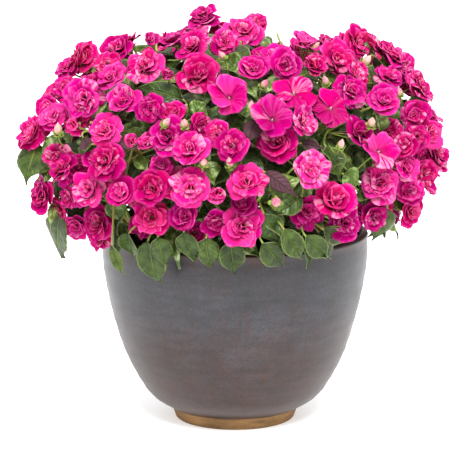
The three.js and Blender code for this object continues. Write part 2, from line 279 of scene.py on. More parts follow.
# Rings of blooms at the back: slope up the mound, turns about the planter in degrees, and width.
BACK_DOUBLES = ((4, (16, 53, 90, 127, 164), 0.040), (44, (38, 90, 142), 0.040))
MORE_DOUBLES = (
    (-0.149, 0.322, 0.042), (0.008, 0.389, 0.040), (-0.116, 0.371, 0.038), (-0.042, 0.374, 0.040),
    (0.100, 0.361, 0.042), (0.051, 0.354, 0.038), (-0.045, 0.232, 0.040), (0.042, 0.278, 0.042),
    (0.098, 0.220, 0.046), (-0.146, 0.230, 0.038), (-0.113, 0.227, 0.038), (0.144, 0.237, 0.040),
    (0.115, 0.330, 0.036), (0.147, 0.319, 0.038), (0.123, 0.287, 0.036), (-0.050, 0.203, 0.036),
    (-0.084, 0.203, 0.036), (-0.123, 0.343, 0.034), (-0.128, 0.290, 0.034), (-0.067, 0.284, 0.040),
    (-0.003, 0.274, 0.034), (-0.172, 0.252, 0.034), (-0.062, 0.238, 0.032), (0.042, 0.363, 0.034),
    (0.068, 0.299, 0.034), (0.173, 0.229, 0.036), (0.138, 0.203, 0.034), (0.072, 0.208, 0.034),
    (-0.019, 0.198, 0.034), (0.008, 0.216, 0.032), (0.177, 0.306, 0.034), (0.193, 0.287, 0.034),
    (0.168, 0.276, 0.030, 200, 15), (0.189, 0.249, 0.032), (0.170, 0.253, 0.030),
    (-0.180, 0.304, 0.030), (-0.084, 0.311, 0.030), (-0.062, 0.307, 0.028), (-0.018, 0.285, 0.028),
    (-0.155, 0.253, 0.030, 0, 20), (-0.073, 0.253, 0.030), (-0.010, 0.378, 0.032, 290, 20),
    (-0.060, 0.379, 0.034, 120, 30), (0.018, 0.394, 0.031, 270, 15), (-0.033, 0.295, 0.028, 20, 25),
    (-0.174, 0.209, 0.030, 200, 20), (-0.158, 0.193, 0.030, 250, 15),
    (0.121, 0.378, 0.038, 270, 15), (0.109, 0.376, 0.028), (0.166, 0.349, 0.032),
    (0.120, 0.345, 0.028), (0.153, 0.289, 0.030, 180, 20), (0.176, 0.208, 0.036, 290, 15),
    (0.152, 0.344, 0.034), (-0.150, 0.363, 0.036), (-0.168, 0.331, 0.030), (-0.184, 0.312, 0.034),
    (0.168, 0.354, 0.027), (0.190, 0.262, 0.030), (0.176, 0.228, 0.028), (-0.176, 0.263, 0.032),
    (-0.166, 0.224, 0.028), (0.149, 0.367, 0.030), (-0.203, 0.289, 0.038), (-0.031, 0.403, 0.032),
    (-0.135, 0.185, 0.033), (-0.194, 0.232, 0.030), (0.180, 0.338, 0.032), (-0.166, 0.353, 0.028),
    (0.062, 0.371, 0.028), (0.137, 0.374, 0.028), (-0.126, 0.356, 0.028), (0.180, 0.284, 0.028),
)
FRONT_SINGLES = (
    (0.037, 0.301, 0.044), (0.095, 0.313, 0.042), (0.143, 0.269, 0.044),
)
MORE_SINGLES = (
    (-0.006, 0.323, 0.044), (0.058, 0.328, 0.042, 90, 30), (0.190, 0.237, 0.036),
)
HALF_OPEN = (
    (0.077, 0.353, 0.026), (-0.157, 0.295, 0.022), (-0.102, 0.278, 0.018), (-0.084, 0.275, 0.024),
    (-0.018, 0.226, 0.025), (-0.083, 0.378, 0.022), (0.087, 0.375, 0.023), (-0.066, 0.343, 0.019),
    (0.118, 0.346, 0.022),
)
# Closed buds: across, up, width.
BUDS = (
    (0.041, 0.218, 0.011), (0.029, 0.336, 0.008), (0.089, 0.339, 0.008), (0.129, 0.359, 0.010),
    (0.138, 0.376, 0.009), (0.135, 0.298, 0.009), (0.105, 0.276, 0.008), (0.117, 0.218, 0.010),
    (0.162, 0.328, 0.008), (-0.175, 0.291, 0.010), (-0.005, 0.258, 0.009), (-0.068, 0.298, 0.008),
    (-0.031, 0.258, 0.008), (-0.013, 0.364, 0.008), (0.016, 0.314, 0.008), (0.078, 0.373, 0.009),
    (-0.050, 0.297, 0.008),
)

# Leaves of the front: across and up of the stalk end and of the tip, and width. These hang over
# the rim, on cylinders of these radii at their stalk ends and tips.
RIM_LEAVES = (
    ((-0.106, 0.186), (-0.104, 0.161), 0.024), ((-0.087, 0.178), (-0.080, 0.130), 0.031),
    ((-0.051, 0.187), (-0.043, 0.157), 0.024), ((-0.029, 0.181), (-0.027, 0.147), 0.025),
    ((-0.005, 0.178), (0.001, 0.141), 0.025), ((0.028, 0.176), (0.051, 0.149), 0.025),
    ((0.084, 0.187), (0.096, 0.158), 0.025),
)
RIM_RADII = (0.168, 0.156)
# Leaves that hang at the sides and back: turns about the planter in degrees.
AROUND_LEAVES = (22, 68, 112, 158)
AROUND = SimpleNamespace(swing=4, top=0.208, tip=0.162, width=0.028)
HANGING_LEAVES = (
    ((-0.174, 0.206), (-0.181, 0.157), 0.034), ((-0.123, 0.174), (-0.114, 0.141), 0.012),
    ((0.049, 0.190), (0.069, 0.157), 0.022), ((0.071, 0.183), (0.093, 0.160), 0.022),
    ((0.029, 0.206), (0.046, 0.171), 0.025), ((0.152, 0.211), (0.140, 0.176), 0.030),
    ((-0.077, 0.182), (-0.070, 0.150), 0.022), ((0.089, 0.190), (0.112, 0.178), 0.020),
)
HANGING_RADII = (0.176, 0.166)
SHADED_HANGING_TONES = (0, 0.24)  # from dark to light, kept low as painted shade under the mound
# Leaves among the blooms. They start and end this deep in the mound, or deeper by the first of
# the sinkings that clears the blooms.
AMONG_LEAVES = (
    ((-0.195, 0.276), (-0.211, 0.238), 0.040), ((-0.175, 0.283), (-0.190, 0.257), 0.022),
    ((-0.143, 0.276), (-0.173, 0.270), 0.024), ((-0.185, 0.254), (-0.198, 0.234), 0.014),
    ((-0.169, 0.237), (-0.180, 0.220), 0.016), ((-0.176, 0.224), (-0.186, 0.192), 0.012),
    ((-0.090, 0.281), (-0.113, 0.289), 0.018), ((-0.052, 0.321), (-0.098, 0.336), 0.024),
    ((-0.102, 0.348), (-0.123, 0.360), 0.016), ((-0.028, 0.384), (-0.019, 0.367), 0.018),
    ((-0.013, 0.362), (0.008, 0.345), 0.024), ((-0.003, 0.371), (0.016, 0.359), 0.018),
    ((-0.100, 0.371), (-0.074, 0.372), 0.010), ((-0.041, 0.304), (-0.028, 0.318), 0.022),
    ((-0.060, 0.302), (-0.048, 0.316), 0.018), ((-0.031, 0.257), (-0.019, 0.237), 0.024),
    ((-0.008, 0.262), (0.004, 0.250), 0.016), ((-0.097, 0.264), (-0.088, 0.248), 0.014),
    ((0.065, 0.223), (0.040, 0.206), 0.022), ((0.095, 0.187), (0.115, 0.182), 0.018),
    ((0.090, 0.273), (0.104, 0.240), 0.026), ((0.037, 0.243), (0.051, 0.224), 0.016),
    ((0.008, 0.340), (0.022, 0.324), 0.018), ((0.018, 0.234), (0.030, 0.210), 0.022),
    ((-0.122, 0.222), (-0.112, 0.196), 0.022), ((0.022, 0.376), (0.044, 0.384), 0.016),
    ((0.108, 0.246), (0.124, 0.236), 0.022), ((0.066, 0.238), (0.078, 0.222), 0.018),
    ((0.087, 0.342), (0.111, 0.346), 0.018), ((0.123, 0.374), (0.136, 0.366), 0.014),
    ((0.162, 0.319), (0.179, 0.293), 0.020), ((0.167, 0.291), (0.158, 0.300), 0.016),
    ((0.071, 0.276), (0.062, 0.290), 0.016), ((0.117, 0.302), (0.128, 0.306), 0.016),
    ((0.016, 0.304), (0.024, 0.296), 0.020), ((0.123, 0.230), (0.136, 0.222), 0.020),
    ((0.055, 0.190), (0.070, 0.196), 0.018), ((0.143, 0.340), (0.127, 0.354), 0.018),
    ((0.138, 0.350), (0.166, 0.354), 0.022), ((0.150, 0.325), (0.174, 0.327), 0.020),
    ((0.172, 0.315), (0.194, 0.322), 0.016), ((0.148, 0.304), (0.172, 0.298), 0.020),
    ((0.176, 0.262), (0.192, 0.250), 0.018), ((0.172, 0.240), (0.190, 0.244), 0.018),
    ((0.160, 0.225), (0.172, 0.206), 0.020), ((-0.168, 0.240), (-0.182, 0.228), 0.020),
    ((-0.160, 0.222), (-0.178, 0.216), 0.020), ((-0.150, 0.210), (-0.170, 0.200), 0.022),
    ((-0.135, 0.352), (-0.150, 0.362), 0.020), ((-0.178, 0.312), (-0.196, 0.318), 0.018),
)
AMONG_DEPTHS = (0.90, 0.97)
AMONG_SINKING = (0.0, 0.03, 0.06, 0.09)
AMONG_MIDDLE = 0.93  # how deep their middles are taken to lie, by the deep blooms
# Leaves between the blooms that show their purple undersides.
TURNED_LEAVES = (
    ((0.030, 0.248), (0.062, 0.226), 0.016), ((0.022, 0.302), (0.010, 0.278), 0.018),
    ((-0.150, 0.282), (-0.144, 0.268), 0.014), ((0.066, 0.277), (0.088, 0.273), 0.011),
    ((-0.112, 0.283), (-0.096, 0.270), 0.016),
)
TURNED_DEPTHS = (0.93, 0.96)
TURNED_TONES = (0.6, 1)
YOUNG_LEAF = 0.015  # leaves narrower than this are young


# ---------------------------------------------------------------- directions and sight lines
def unit(vector):
    return vector / np.linalg.norm(vector)


def square_to(first, second):
    """Unit vector square to two others, or +X where those run the same way."""
    side = np.cross(first, second)
    return unit(side) if np.linalg.norm(side) > 1e-6 else np.array((1.0, 0.0, 0.0))


def direction(slope, turn):
    """Unit vector at a slope above level and a turn about Z, in degrees."""
    rise, around = math.radians(slope), math.radians(turn)
    flat = math.cos(rise)
    return np.array((flat * math.cos(around), flat * math.sin(around), math.sin(rise)))


def crossing(start, step, middle, radii, side):
    """Where a line crosses an ellipsoid, on the near side (-1) or the far one (1)."""
    s, d = (start - middle) / radii, step / radii
    a, b, c = d @ d, s @ d, s @ s - 1
    return start + step * (-b + side * math.sqrt(max(0.0, b * b - a * c))) / a


def on_mound(plant, start, step, side, scale=1.0):
    """Where a line crosses the mound, whose upper and lower halves differ in height."""
    for half in (plant.mound_above, plant.mound_below):
        radii = scale * np.array((plant.mound_radius, plant.mound_radius, half))
        place = crossing(start, step, UP * plant.mound_middle, radii, side)
        if place[2] >= plant.mound_middle:
            break
    return place


def camera_place():
    return np.array(bpy.context.scene.lizzie_stage.camera)


def seen_at(plant, across, up, scale=1.0):
    """The near side of the mound, at a place as the camera sees it."""
    camera = camera_place()
    return on_mound(plant, camera, np.array((across, 0.0, up)) - camera, -1, scale)


def seen_on_cylinder(across, up, radius):
    """The near side of an upright cylinder about the planter, at a place as the camera sees it."""
    camera = camera_place()
    radii = np.array((radius, radius, math.inf))
    return crossing(camera, np.array((across, 0.0, up)) - camera, np.zeros(3), radii, -1)


def facing_at(plant, place, towards_front):
    """The way a bloom at a place faces: away from the heart, to the light and to the open front."""
    away = unit(place - UP * plant.heart)
    open_side = unit(camera_place() - place)
    return unit(away + open_side * towards_front + UP * LEAN_TO_LIGHT)


def tipped(facing, turn, tilt):
    """A direction tipped by tilt towards a turn as seen from the front, in degrees."""
    towards = direction(turn, 0)
    towards = unit(towards - facing * (towards @ facing))
    tilt = math.radians(tilt)
    return facing * math.cos(tilt) + towards * math.sin(tilt)


def axes_for(facing, roll=0.0):
    """Rotation matrix that takes +Z to facing, after a turn by roll."""
    side = square_to(UP, facing)
    across = side * math.cos(roll) + np.cross(facing, side) * math.sin(roll)
    return np.column_stack((across, np.cross(facing, across), facing))


# ---------------------------------------------------------------- the plan of the plant
def new_bloom(plant, place, width, towards_front, tip=(), spare=0):
    """A bloom or bud. spare is how many rows and columns of points its petals do without, and one
    more than the inner rings that it lacks."""
    facing = facing_at(plant, place, towards_front)
    if tip:
        facing = tipped(facing, *tip)
    return SimpleNamespace(place=place, facing=facing, width=width, spare=spare)


def clear_of(place, width, others, share):
    """Whether a bloom keeps at least that share of the two radii from the others' middles."""
    return all(
        np.linalg.norm(place - other.place) > share * (width + other.width) / 2 for other in others
    )


def settled(plant, across, up, width, others):
    """A place on the sight line, behind the blooms that it would cut."""
    for scale in np.arange(1.0, 0.88, -0.02):
        place = seen_at(plant, across, up, scale)
        if clear_of(place, width, others, ROOM.by_eye):
            break
    return place


def in_hollow(place):
    """Whether the camera sees a place in a dip of the plant's outline."""
    camera = camera_place()
    seen = camera + (place - camera) * camera[1] / (camera[1] - place[1])
    return any(math.hypot(seen[0] - across, seen[2] - up) < radius for across, up, radius in HOLLOWS)


def sunken(plant, place):
    """A place, or the nearest one under it that isn't seen in a dip of the outline."""
    middle = UP * plant.mound_middle
    for part in SINKING:
        lower = middle + (place - middle) * part
        if not in_hollow(lower):
            break
    return lower


def mound_lattice(plant, count, scale=1.0):
    """Evenly spread places on the mound."""
    for k in range(count):
        rise = 1 - (1 - LATTICE_FOOT) * (k + 0.5) / count
        flat = scale * plant.mound_radius * math.sqrt(1 - rise * rise)
        turn = GOLDEN_TURN * k
        half = plant.mound_above if rise > 0 else plant.mound_below
        level = scale * half * rise + plant.mound_middle
        yield np.array((flat * math.cos(turn), flat * math.sin(turn), level))


def plan_blooms(plant):
    """All the blooms, by kind, and their faces. The first doubles and singles stand for CAD nodes."""
    doubles, singles, halves, everyone = [], [], [], []

    def bloom(kind, *facts, **more):
        kind.append(new_bloom(plant, *facts, **more))
        everyone.append(kind[-1])

    for kind, table in ((doubles, FRONT_DOUBLES), (singles, FRONT_SINGLES)):
        for across, up, width, *tip in table:
            bloom(kind, seen_at(plant, across, up), width, LEAN_TO_FRONT, tip)
    for slope, turns, width in BACK_DOUBLES:
        for turn in turns:
            place = direction(slope, turn)
            place *= (plant.mound_radius, plant.mound_radius, plant.mound_above)
            bloom(doubles, place + UP * plant.mound_middle, width, 0)
    for kind, table in ((doubles, MORE_DOUBLES), (singles, MORE_SINGLES), (halves, HALF_OPEN)):
        for across, up, width, *tip in table:
            place = settled(plant, across, up, width, everyone)
            bloom(kind, place, width, LEAN_OF_OTHERS, tip, int(width < SMALL_BLOOM))
    draw = np.random.default_rng(7)
    for place in mound_lattice(plant, SPREAD_BLOOMS):
        width, pick = draw.uniform(*SPREAD_WIDTHS), draw.uniform()
        in_front = facing_at(plant, place, 0) @ unit(camera_place() - place) > FRONT_SHARE
        place = sunken(plant, place)
        if in_front or in_hollow(place) or not clear_of(place, width, everyone, ROOM.spread):
            continue
        if pick < SINGLES_BELOW:
            bloom(singles, place, width, 0)
        elif pick < HALVES_BELOW:
            bloom(halves, place, HALF_OPEN_WIDTH * width, 0)
        else:
            bloom(doubles, place, width, 0, spare=2)
    # Blooms that lie deeper, and show only between the others, but not through a leaf.
    middles = ((np.array(start) + tip) / 2 for start, tip, _ in AMONG_LEAVES)
    leafy = np.array([seen_at(plant, *middle, AMONG_MIDDLE) for middle in middles])
    for place in mound_lattice(plant, DEEP_BLOOMS, DEEP_SCALE):
        place, width = sunken(plant, place), draw.uniform(*DEEP_WIDTHS)
        under_leaf = min(np.linalg.norm(leafy - place, axis=1)) < ROOM.under_leaf
        if clear_of(place, width, everyone, ROOM.deep) and not under_leaf and not in_hollow(place):
            bloom(doubles, place, width, LEAN_OF_DEEP, spare=3)
    return SimpleNamespace(
        double_bloom=doubles, single_bloom=singles, half_open_bloom=halves,
        places=np.array([each.place for each in everyone]),
        facings=np.array([each.facing for each in everyone]),
        widths=np.array([each.width for each in everyone]),
    )


def covers_bloom(start, end, blooms):
    """Whether the outer half of a leaf lies before the face of a bloom, within its radius."""
    for part in (0.5, 0.75, 1.0):
        away = start + (end - start) * part - blooms.places
        before = np.sum(away * blooms.facings, axis=1)
        beside = np.linalg.norm(away - before[:, None] * blooms.facings, axis=1)
        near = (before > HIDDEN_FROM * blooms.widths) & (before < HIDDEN_TO)
        if np.any(near & (beside < 0.5 * blooms.widths)):
            return True
    return False


def meets_wall(start, end):
    """Whether a leaf of the plant's inside would reach the planter's wall."""
    rim = bpy.context.scene.lizzie_planter
    inner, outer = rim.rim_radius - RIM_ROOM.inside, rim.rim_radius + RIM_ROOM.outside
    for part in (0.4, 0.7, 1.0):
        x, y, z = start + (end - start) * part
        if z < rim.height + RIM_ROOM.above and inner < math.hypot(x, y) < outer:
            return True
    return False


def plan_buds(plant):
    """The buds. The first one stands for a CAD node, and the others point up more or less."""
    draw = np.random.default_rng(3)
    buds = []
    for across, up, width in BUDS:
        tip = (draw.uniform(40, 140), draw.uniform(20, 60)) if buds else ()
        buds.append(new_bloom(plant, seen_at(plant, across, up), width, LEAN_TO_FRONT, tip))
    return buds


def plan_leaves(plant, blooms):
    """Stalk end, tip, width and outward direction of each leaf that stands by itself."""
    planned = []
    for start, tip, width in RIM_LEAVES:
        ends = seen_on_cylinder(*start, RIM_RADII[0]), seen_on_cylinder(*tip, RIM_RADII[1])
        planned.append((*ends, width, ends[0] * (1, 1, 0)))
    for turn in AROUND_LEAVES:
        start = direction(0, turn) * RIM_RADII[0] + UP * AROUND.top
        tip = direction(0, turn + AROUND.swing) * RIM_RADII[1] + UP * AROUND.tip
        planned.append((start, tip, AROUND.width, start * (1, 1, 0)))
    for start, tip, width in HANGING_LEAVES:
        ends = seen_on_cylinder(*start, HANGING_RADII[0]), seen_on_cylinder(*tip, HANGING_RADII[1])
        planned.append((*ends, width, unit(ends[0] * (1, 1, 0)) + (0, -1, 0)))
    first, last = AMONG_DEPTHS
    for start, tip, width in AMONG_LEAVES:
        for depth in AMONG_SINKING:
            ends = seen_at(plant, *start, first - depth / 2), seen_at(plant, *tip, last - depth)
            if not covers_bloom(*ends, blooms):
                break
        start, long = ends[0], np.linalg.norm(ends[1] - ends[0])
        tip = start + (ends[1] - start) * min(1.0, LONGEST_LEAF / long)
        planned.append((start, tip, width, facing_at(plant, start, LEAN_OF_LEAVES)))
    first, last = TURNED_DEPTHS
    for start, tip, width in TURNED_LEAVES:
        ends = seen_at(plant, *start, first), seen_at(plant, *tip, last)
        planned.append((*ends, width, -facing_at(plant, ends[0], LEAN_OF_LEAVES)))
    return planned


def plan_stems(plant):
    """Each main stem's direction and its route from the soil to its fork."""
    root = UP * plant.fan_height
    rise = bpy.context.scene.lizzie_planter.soil_top - ROOTING - plant.fan_height
    planned = []
    for count, slope, first_turn in STEM_RINGS:
        for k in range(count):
            turn = first_turn + 360 * k / count
            along = direction(slope, turn)
            fork = root + (on_mound(plant, root, along, 1) - root) * FORK_REACH
            reach = np.linalg.norm(fork - root)
            steeper = min(UPRIGHT_AT_FOOT, 90 - slope)
            first = rise / (reach * direction(slope + steeper, turn)[2])
            parts = np.linspace(first, 1, 9)
            route = [root + direction(slope + steeper * (1 - p), turn) * reach * p for p in parts]
            planned.append(SimpleNamespace(along=along, route=route, fork=fork))
    return planned


def nearest_stem(plant, stems, place):
    """The number of the stem that points nearest to a place."""
    along = unit(place - UP * plant.fan_height)
    return max(range(len(stems)), key=lambda k: stems[k].along @ along)


def shoot_tips(plant):
    """Each leafy shoot under the blooms: where it ends, the way it points, and its tier."""
    for tier, (count, reach) in enumerate(SHOOTS):
        for at in mound_lattice(plant, count, reach):
            yield at, unit(at - UP * plant.heart), tier


# ---------------------------------------------------------------- meshes
class Pile:
    """Collects sheets, rods and turned shapes into one mesh, with marks that its material reads."""

    def __init__(self, *marks):
        self.points, self.faces, self.flat, self.finish = [], [], [], []
        self.marks = {name: [] for name in marks}
        self.count = 0

    def add(self, points, faces, flat=False, finish=0, **marks):
        """Adds points (n, 3) and faces (m, corners)."""
        self.points.append(points)
        self.faces.append(faces + self.count)
        self.flat.append(np.broadcast_to(flat, len(faces)))
        self.finish.append(np.broadcast_to(finish, len(faces)))
        for name, kept in self.marks.items():
            kept.append(np.broadcast_to(np.asarray(marks.get(name, 0.0), dtype=float), len(points)))
        self.count += len(points)

    def add_turned(self, grid, finish=0, **marks):
        """Adds a grid of points (rings, sides, 3) whose rings are closed, with a cap at each end."""
        rings, sides = grid.shape[:2]
        around = np.arange(sides)
        caps = self.count + np.stack((around[::-1], (rings - 1) * sides + around))
        self.add(grid.reshape(-1, 3), grid_faces(rings, sides, closed=True), finish=finish, **marks)
        self.faces.append(caps)
        self.flat.append(np.zeros(2, dtype=bool))
        self.finish.append(np.full(2, finish))

    def shape(self, name, materials, slot, place=None, axes=None, replaces=()):
        """Makes the piece, in place, and lets it ride on the plant's body."""
        mesh = bpy.data.meshes.new(name)
        points = np.concatenate(self.points)
        mesh.vertices.add(len(points))
        mesh.vertices.foreach_set("co", points.astype(np.float32).ravel())
        sizes = np.concatenate([np.full(len(f), f.shape[1]) for f in self.faces])
        corners = np.concatenate([f.ravel() for f in self.faces])
        mesh.loops.add(len(corners))
        mesh.loops.foreach_set("vertex_index", corners.astype(np.int32))
        mesh.polygons.add(len(sizes))
        starts = np.concatenate(([0], np.cumsum(sizes)[:-1]))
        mesh.polygons.foreach_set("loop_start", starts.astype(np.int32))
        mesh.polygons.foreach_set("material_index", np.concatenate(self.finish).astype(np.int32))
        mesh.update(calc_edges=True)
        mesh.polygons.foreach_set("use_smooth", ~np.concatenate(self.flat).astype(bool))
        for mark, kept in self.marks.items():
            data = mesh.attributes.new(mark, "FLOAT", "POINT").data
            data.foreach_set("value", np.concatenate(kept).astype(np.float32))
        mesh.validate()
        for material in materials:
            mesh.materials.append(material)
        piece = add_object(name, mesh)
        if place is not None:
            piece.matrix_world = Matrix.Translation(Vector(place)) @ Matrix(axes.tolist()).to_4x4()
        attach(piece, BODY)
        if replaces:
            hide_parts(*replaces)


def add_object(name, data):
    """An object of the scene that shows a mesh, a light or a camera."""
    made = bpy.data.objects.new(name, data)
    bpy.context.scene.collection.objects.link(made)
    return made


def grid_faces(rows, columns, closed=False, looped=False):
    """Quads of a grid of points. closed joins its last column to the first, looped its last row."""
    spans = rows if looped else rows - 1, columns if closed else columns - 1
    r, c = np.meshgrid(*map(np.arange, spans), indexing="ij")
    row, below, beside = r * columns, (r + 1) % rows * columns, (c + 1) % columns
    return np.stack((row + c, row + beside, below + beside, below + c), axis=-1).reshape(-1, 4)


def turned(x, y, z, turn):
    """Grid of points from its coordinates, turned about Z."""
    c, s = math.cos(turn), math.sin(turn)
    return np.stack(np.broadcast_arrays(x * c - y * s, x * s + y * c, z), axis=-1)


def span_of(rows, columns, start=0.0):
    """Where each point of a sheet lies: across it, from -1 to 1, and along it, up to 1."""
    return np.linspace(-1, 1, columns)[None, :], np.linspace(start, 1, rows)[:, None]


def add_sheet(pile, grid, thickness, marks, finish=0):
    """A thin closed solid about a grid of points (rows, columns, 3). Its upper face is the one
    that the columns' turn from left to right sees above the rows. marks fit (rows, columns)."""
    rows, columns, _ = grid.shape
    normal = np.cross(np.gradient(grid, axis=1), np.gradient(grid, axis=0))
    normal /= np.linalg.norm(normal, axis=2, keepdims=True) + 1e-12
    top = (grid + normal * thickness / 2).reshape(-1, 3)
    bottom = (grid - normal * thickness / 2).reshape(-1, 3)
    count = rows * columns
    faces = grid_faces(rows, columns)
    number = np.arange(count).reshape(rows, columns)
    loop = np.concatenate((number[0], number[1:, -1], number[-1, -2::-1], number[-2:0:-1, 0]))
    after = np.roll(loop, -1)
    rim = np.stack((after, loop, loop + count, after + count), axis=-1)
    faces = np.concatenate((faces, faces[:, ::-1] + count, rim))
    both = {name: np.tile(np.broadcast_to(v, (rows, columns)).ravel(), 2) for name, v in marks.items()}
    both["under"] = np.repeat((0.0, 1.0), count)
    flat = np.arange(len(faces)) >= len(faces) - len(rim)
    pile.add(np.concatenate((top, bottom)), faces, flat=flat, finish=finish, **both)


def add_rod(pile, route, radii, sides=8, finish=0, **marks):
    """A round rod along a route of points, with a radius at each point and rounded ends."""
    route = np.asarray(route, dtype=float)
    along = np.gradient(route, axis=0)
    along /= np.linalg.norm(along, axis=1, keepdims=True)
    level = UP if abs(along[0] @ UP) < 0.9 else (1.0, 0.0, 0.0)
    side = unit(np.cross(along[0], level))
    angles = TURN * np.arange(sides) / sides
    rings = []
    for point, forth, radius in zip(route, along, np.broadcast_to(radii, len(route))):
        side = unit(side - forth * (side @ forth))
        ring = np.outer(np.cos(angles), side) + np.outer(np.sin(angles), np.cross(forth, side))
        rings.append(point + ring * radius)
    pile.add_turned(np.array(rings), finish, **marks)


def bezier(start, bend, end, steps):
    """Points of a smooth curve from start to end, drawn towards bend."""
    t = np.linspace(0, 1, steps + 1)[:, None]
    return (1 - t) ** 2 * start + 2 * t * (1 - t) * bend + t * t * end


def smoothstep(low, high, x):
    t = np.clip((x - low) / (high - low), 0, 1)
    return t * t * (3 - 2 * t)


def numbered(name, number):
    return f"{name}_{number:02d}"


# ---------------------------------------------------------------- petals
# The rings of a bloom, from the outside in. Lengths are in bloom radii, angles in degrees: the
# petal's half angle about its foot, and its slope at the foot and at the edge. curl turns the
# edge back, cup bends it across, depth says how far in it lies, and fleck is how white its foot
# may be.
RINGS = {
    "double_bloom": (
        dict(petals=5, reach=1.06, half=50, low=34, high=-2, curl=24, cup=0.45, ruffle=0.034,
             depth=0.0, rows=7, columns=10),
        dict(petals=5, reach=0.92, half=46, low=54, high=10, curl=30, cup=0.9, ruffle=0.04,
             depth=0.3, fleck=0.2, rows=7, columns=9),
        dict(petals=4, reach=0.76, half=50, low=72, high=32, curl=34, cup=1.3, ruffle=0.05,
             depth=0.6, fleck=0.35, rows=6, columns=9),
        dict(petals=4, reach=0.64, half=42, low=84, high=56, curl=34, cup=2.0, ruffle=0.055,
             depth=0.85, fleck=0.5, rows=6, columns=7),
        dict(petals=3, reach=0.52, half=38, low=90, high=80, curl=26, cup=3.4, ruffle=0.05,
             depth=1.0, fleck=0.7, rows=5, columns=6),
    ),
    "single_bloom": (
        dict(petals=5, reach=1.06, half=48, low=24, high=-4, curl=26, cup=-0.35, ruffle=0.05,
             depth=0.0, fleck=0.2, rows=9, columns=13, corner=0.30, notch=0.07, foot=0.0,
             foot_height=-0.16, crease=0.05, twist=(6, 20), vary=0.45),
    ),
    "half_open_bloom": (
        dict(petals=5, reach=1.30, half=42, low=64, high=42, curl=34, cup=1.1, ruffle=0.05,
             depth=0.2, fleck=0.5, rows=7, columns=9, foot=0.10),
        dict(petals=4, reach=1.16, half=44, low=78, high=64, curl=30, cup=1.8, ruffle=0.05,
             depth=0.5, rows=6, columns=8, foot=0.08),
        dict(petals=4, reach=1.10, half=38, low=88, high=82, curl=20, cup=3.2, ruffle=0.04,
             depth=0.9, rows=6, columns=6),
    ),
}
# What holds for a ring that doesn't say otherwise. foot is how far from the middle a petal starts,
# and foot_height how far below the bloom's middle. corner is how round the petal's corners are,
# notch how deep its edge dips in the middle, and crease how deep the groove behind that is. twist
# is how far it may turn about its length, and vary how far its tone may stray from the bloom's.
PETAL = dict(
    foot=0.05, foot_height=-0.34, corner=0.34, notch=0.05, crease=0.02, twist=(-8, 18), fleck=0.0,
    vary=0.42,
)
PETAL_CLAW = 0.07  # where the blade of the petal starts, in its length
# How far petals stray by chance: in length, width, curl, cup and ruffle as parts of their ring's,
# in slope by degrees, and in hue.
PETAL_VARIES = SimpleNamespace(
    length=(0.80, 1.08), width=(0.88, 1.12), low=(-9, 9), high=(-20, 18), curl=(0.2, 1.7),
    cup=(0.4, 1.6), ruffle=(0.6, 1.5), hue=(-0.25, 0.25),
)
# And blooms: in hue, in how far they open (degrees), in how crumpled their petals are and how
# unevenly these and their rings stand about the middle (radians), and in how far they nod.
BLOOM_VARIES = SimpleNamespace(
    hue=(0, 0.8), open=(-10, 24), crumpled=(0.7, 1.9), petal=(-0.18, 0.18), ring=(-0.3, 0.3),
    nod=(0, 30), steady_nod=(0, 6),
)
STALK_FOOT = 0.08  # how far below the petals' feet the stalk ends, in bloom radii
# The tube behind a bloom: height above the petals' feet, in bloom radii, and its radius there.
CALYX = ((-0.13, 0.0010), (-0.07, 0.0020), (-0.03, 0.0020), (-0.01, 0.0008))
COLUMN_RADII = (0.0012, 0.0009, 0.0004)  # of the column amid a single bloom, from its foot up
SEPAL_THICKNESS = 0.0004


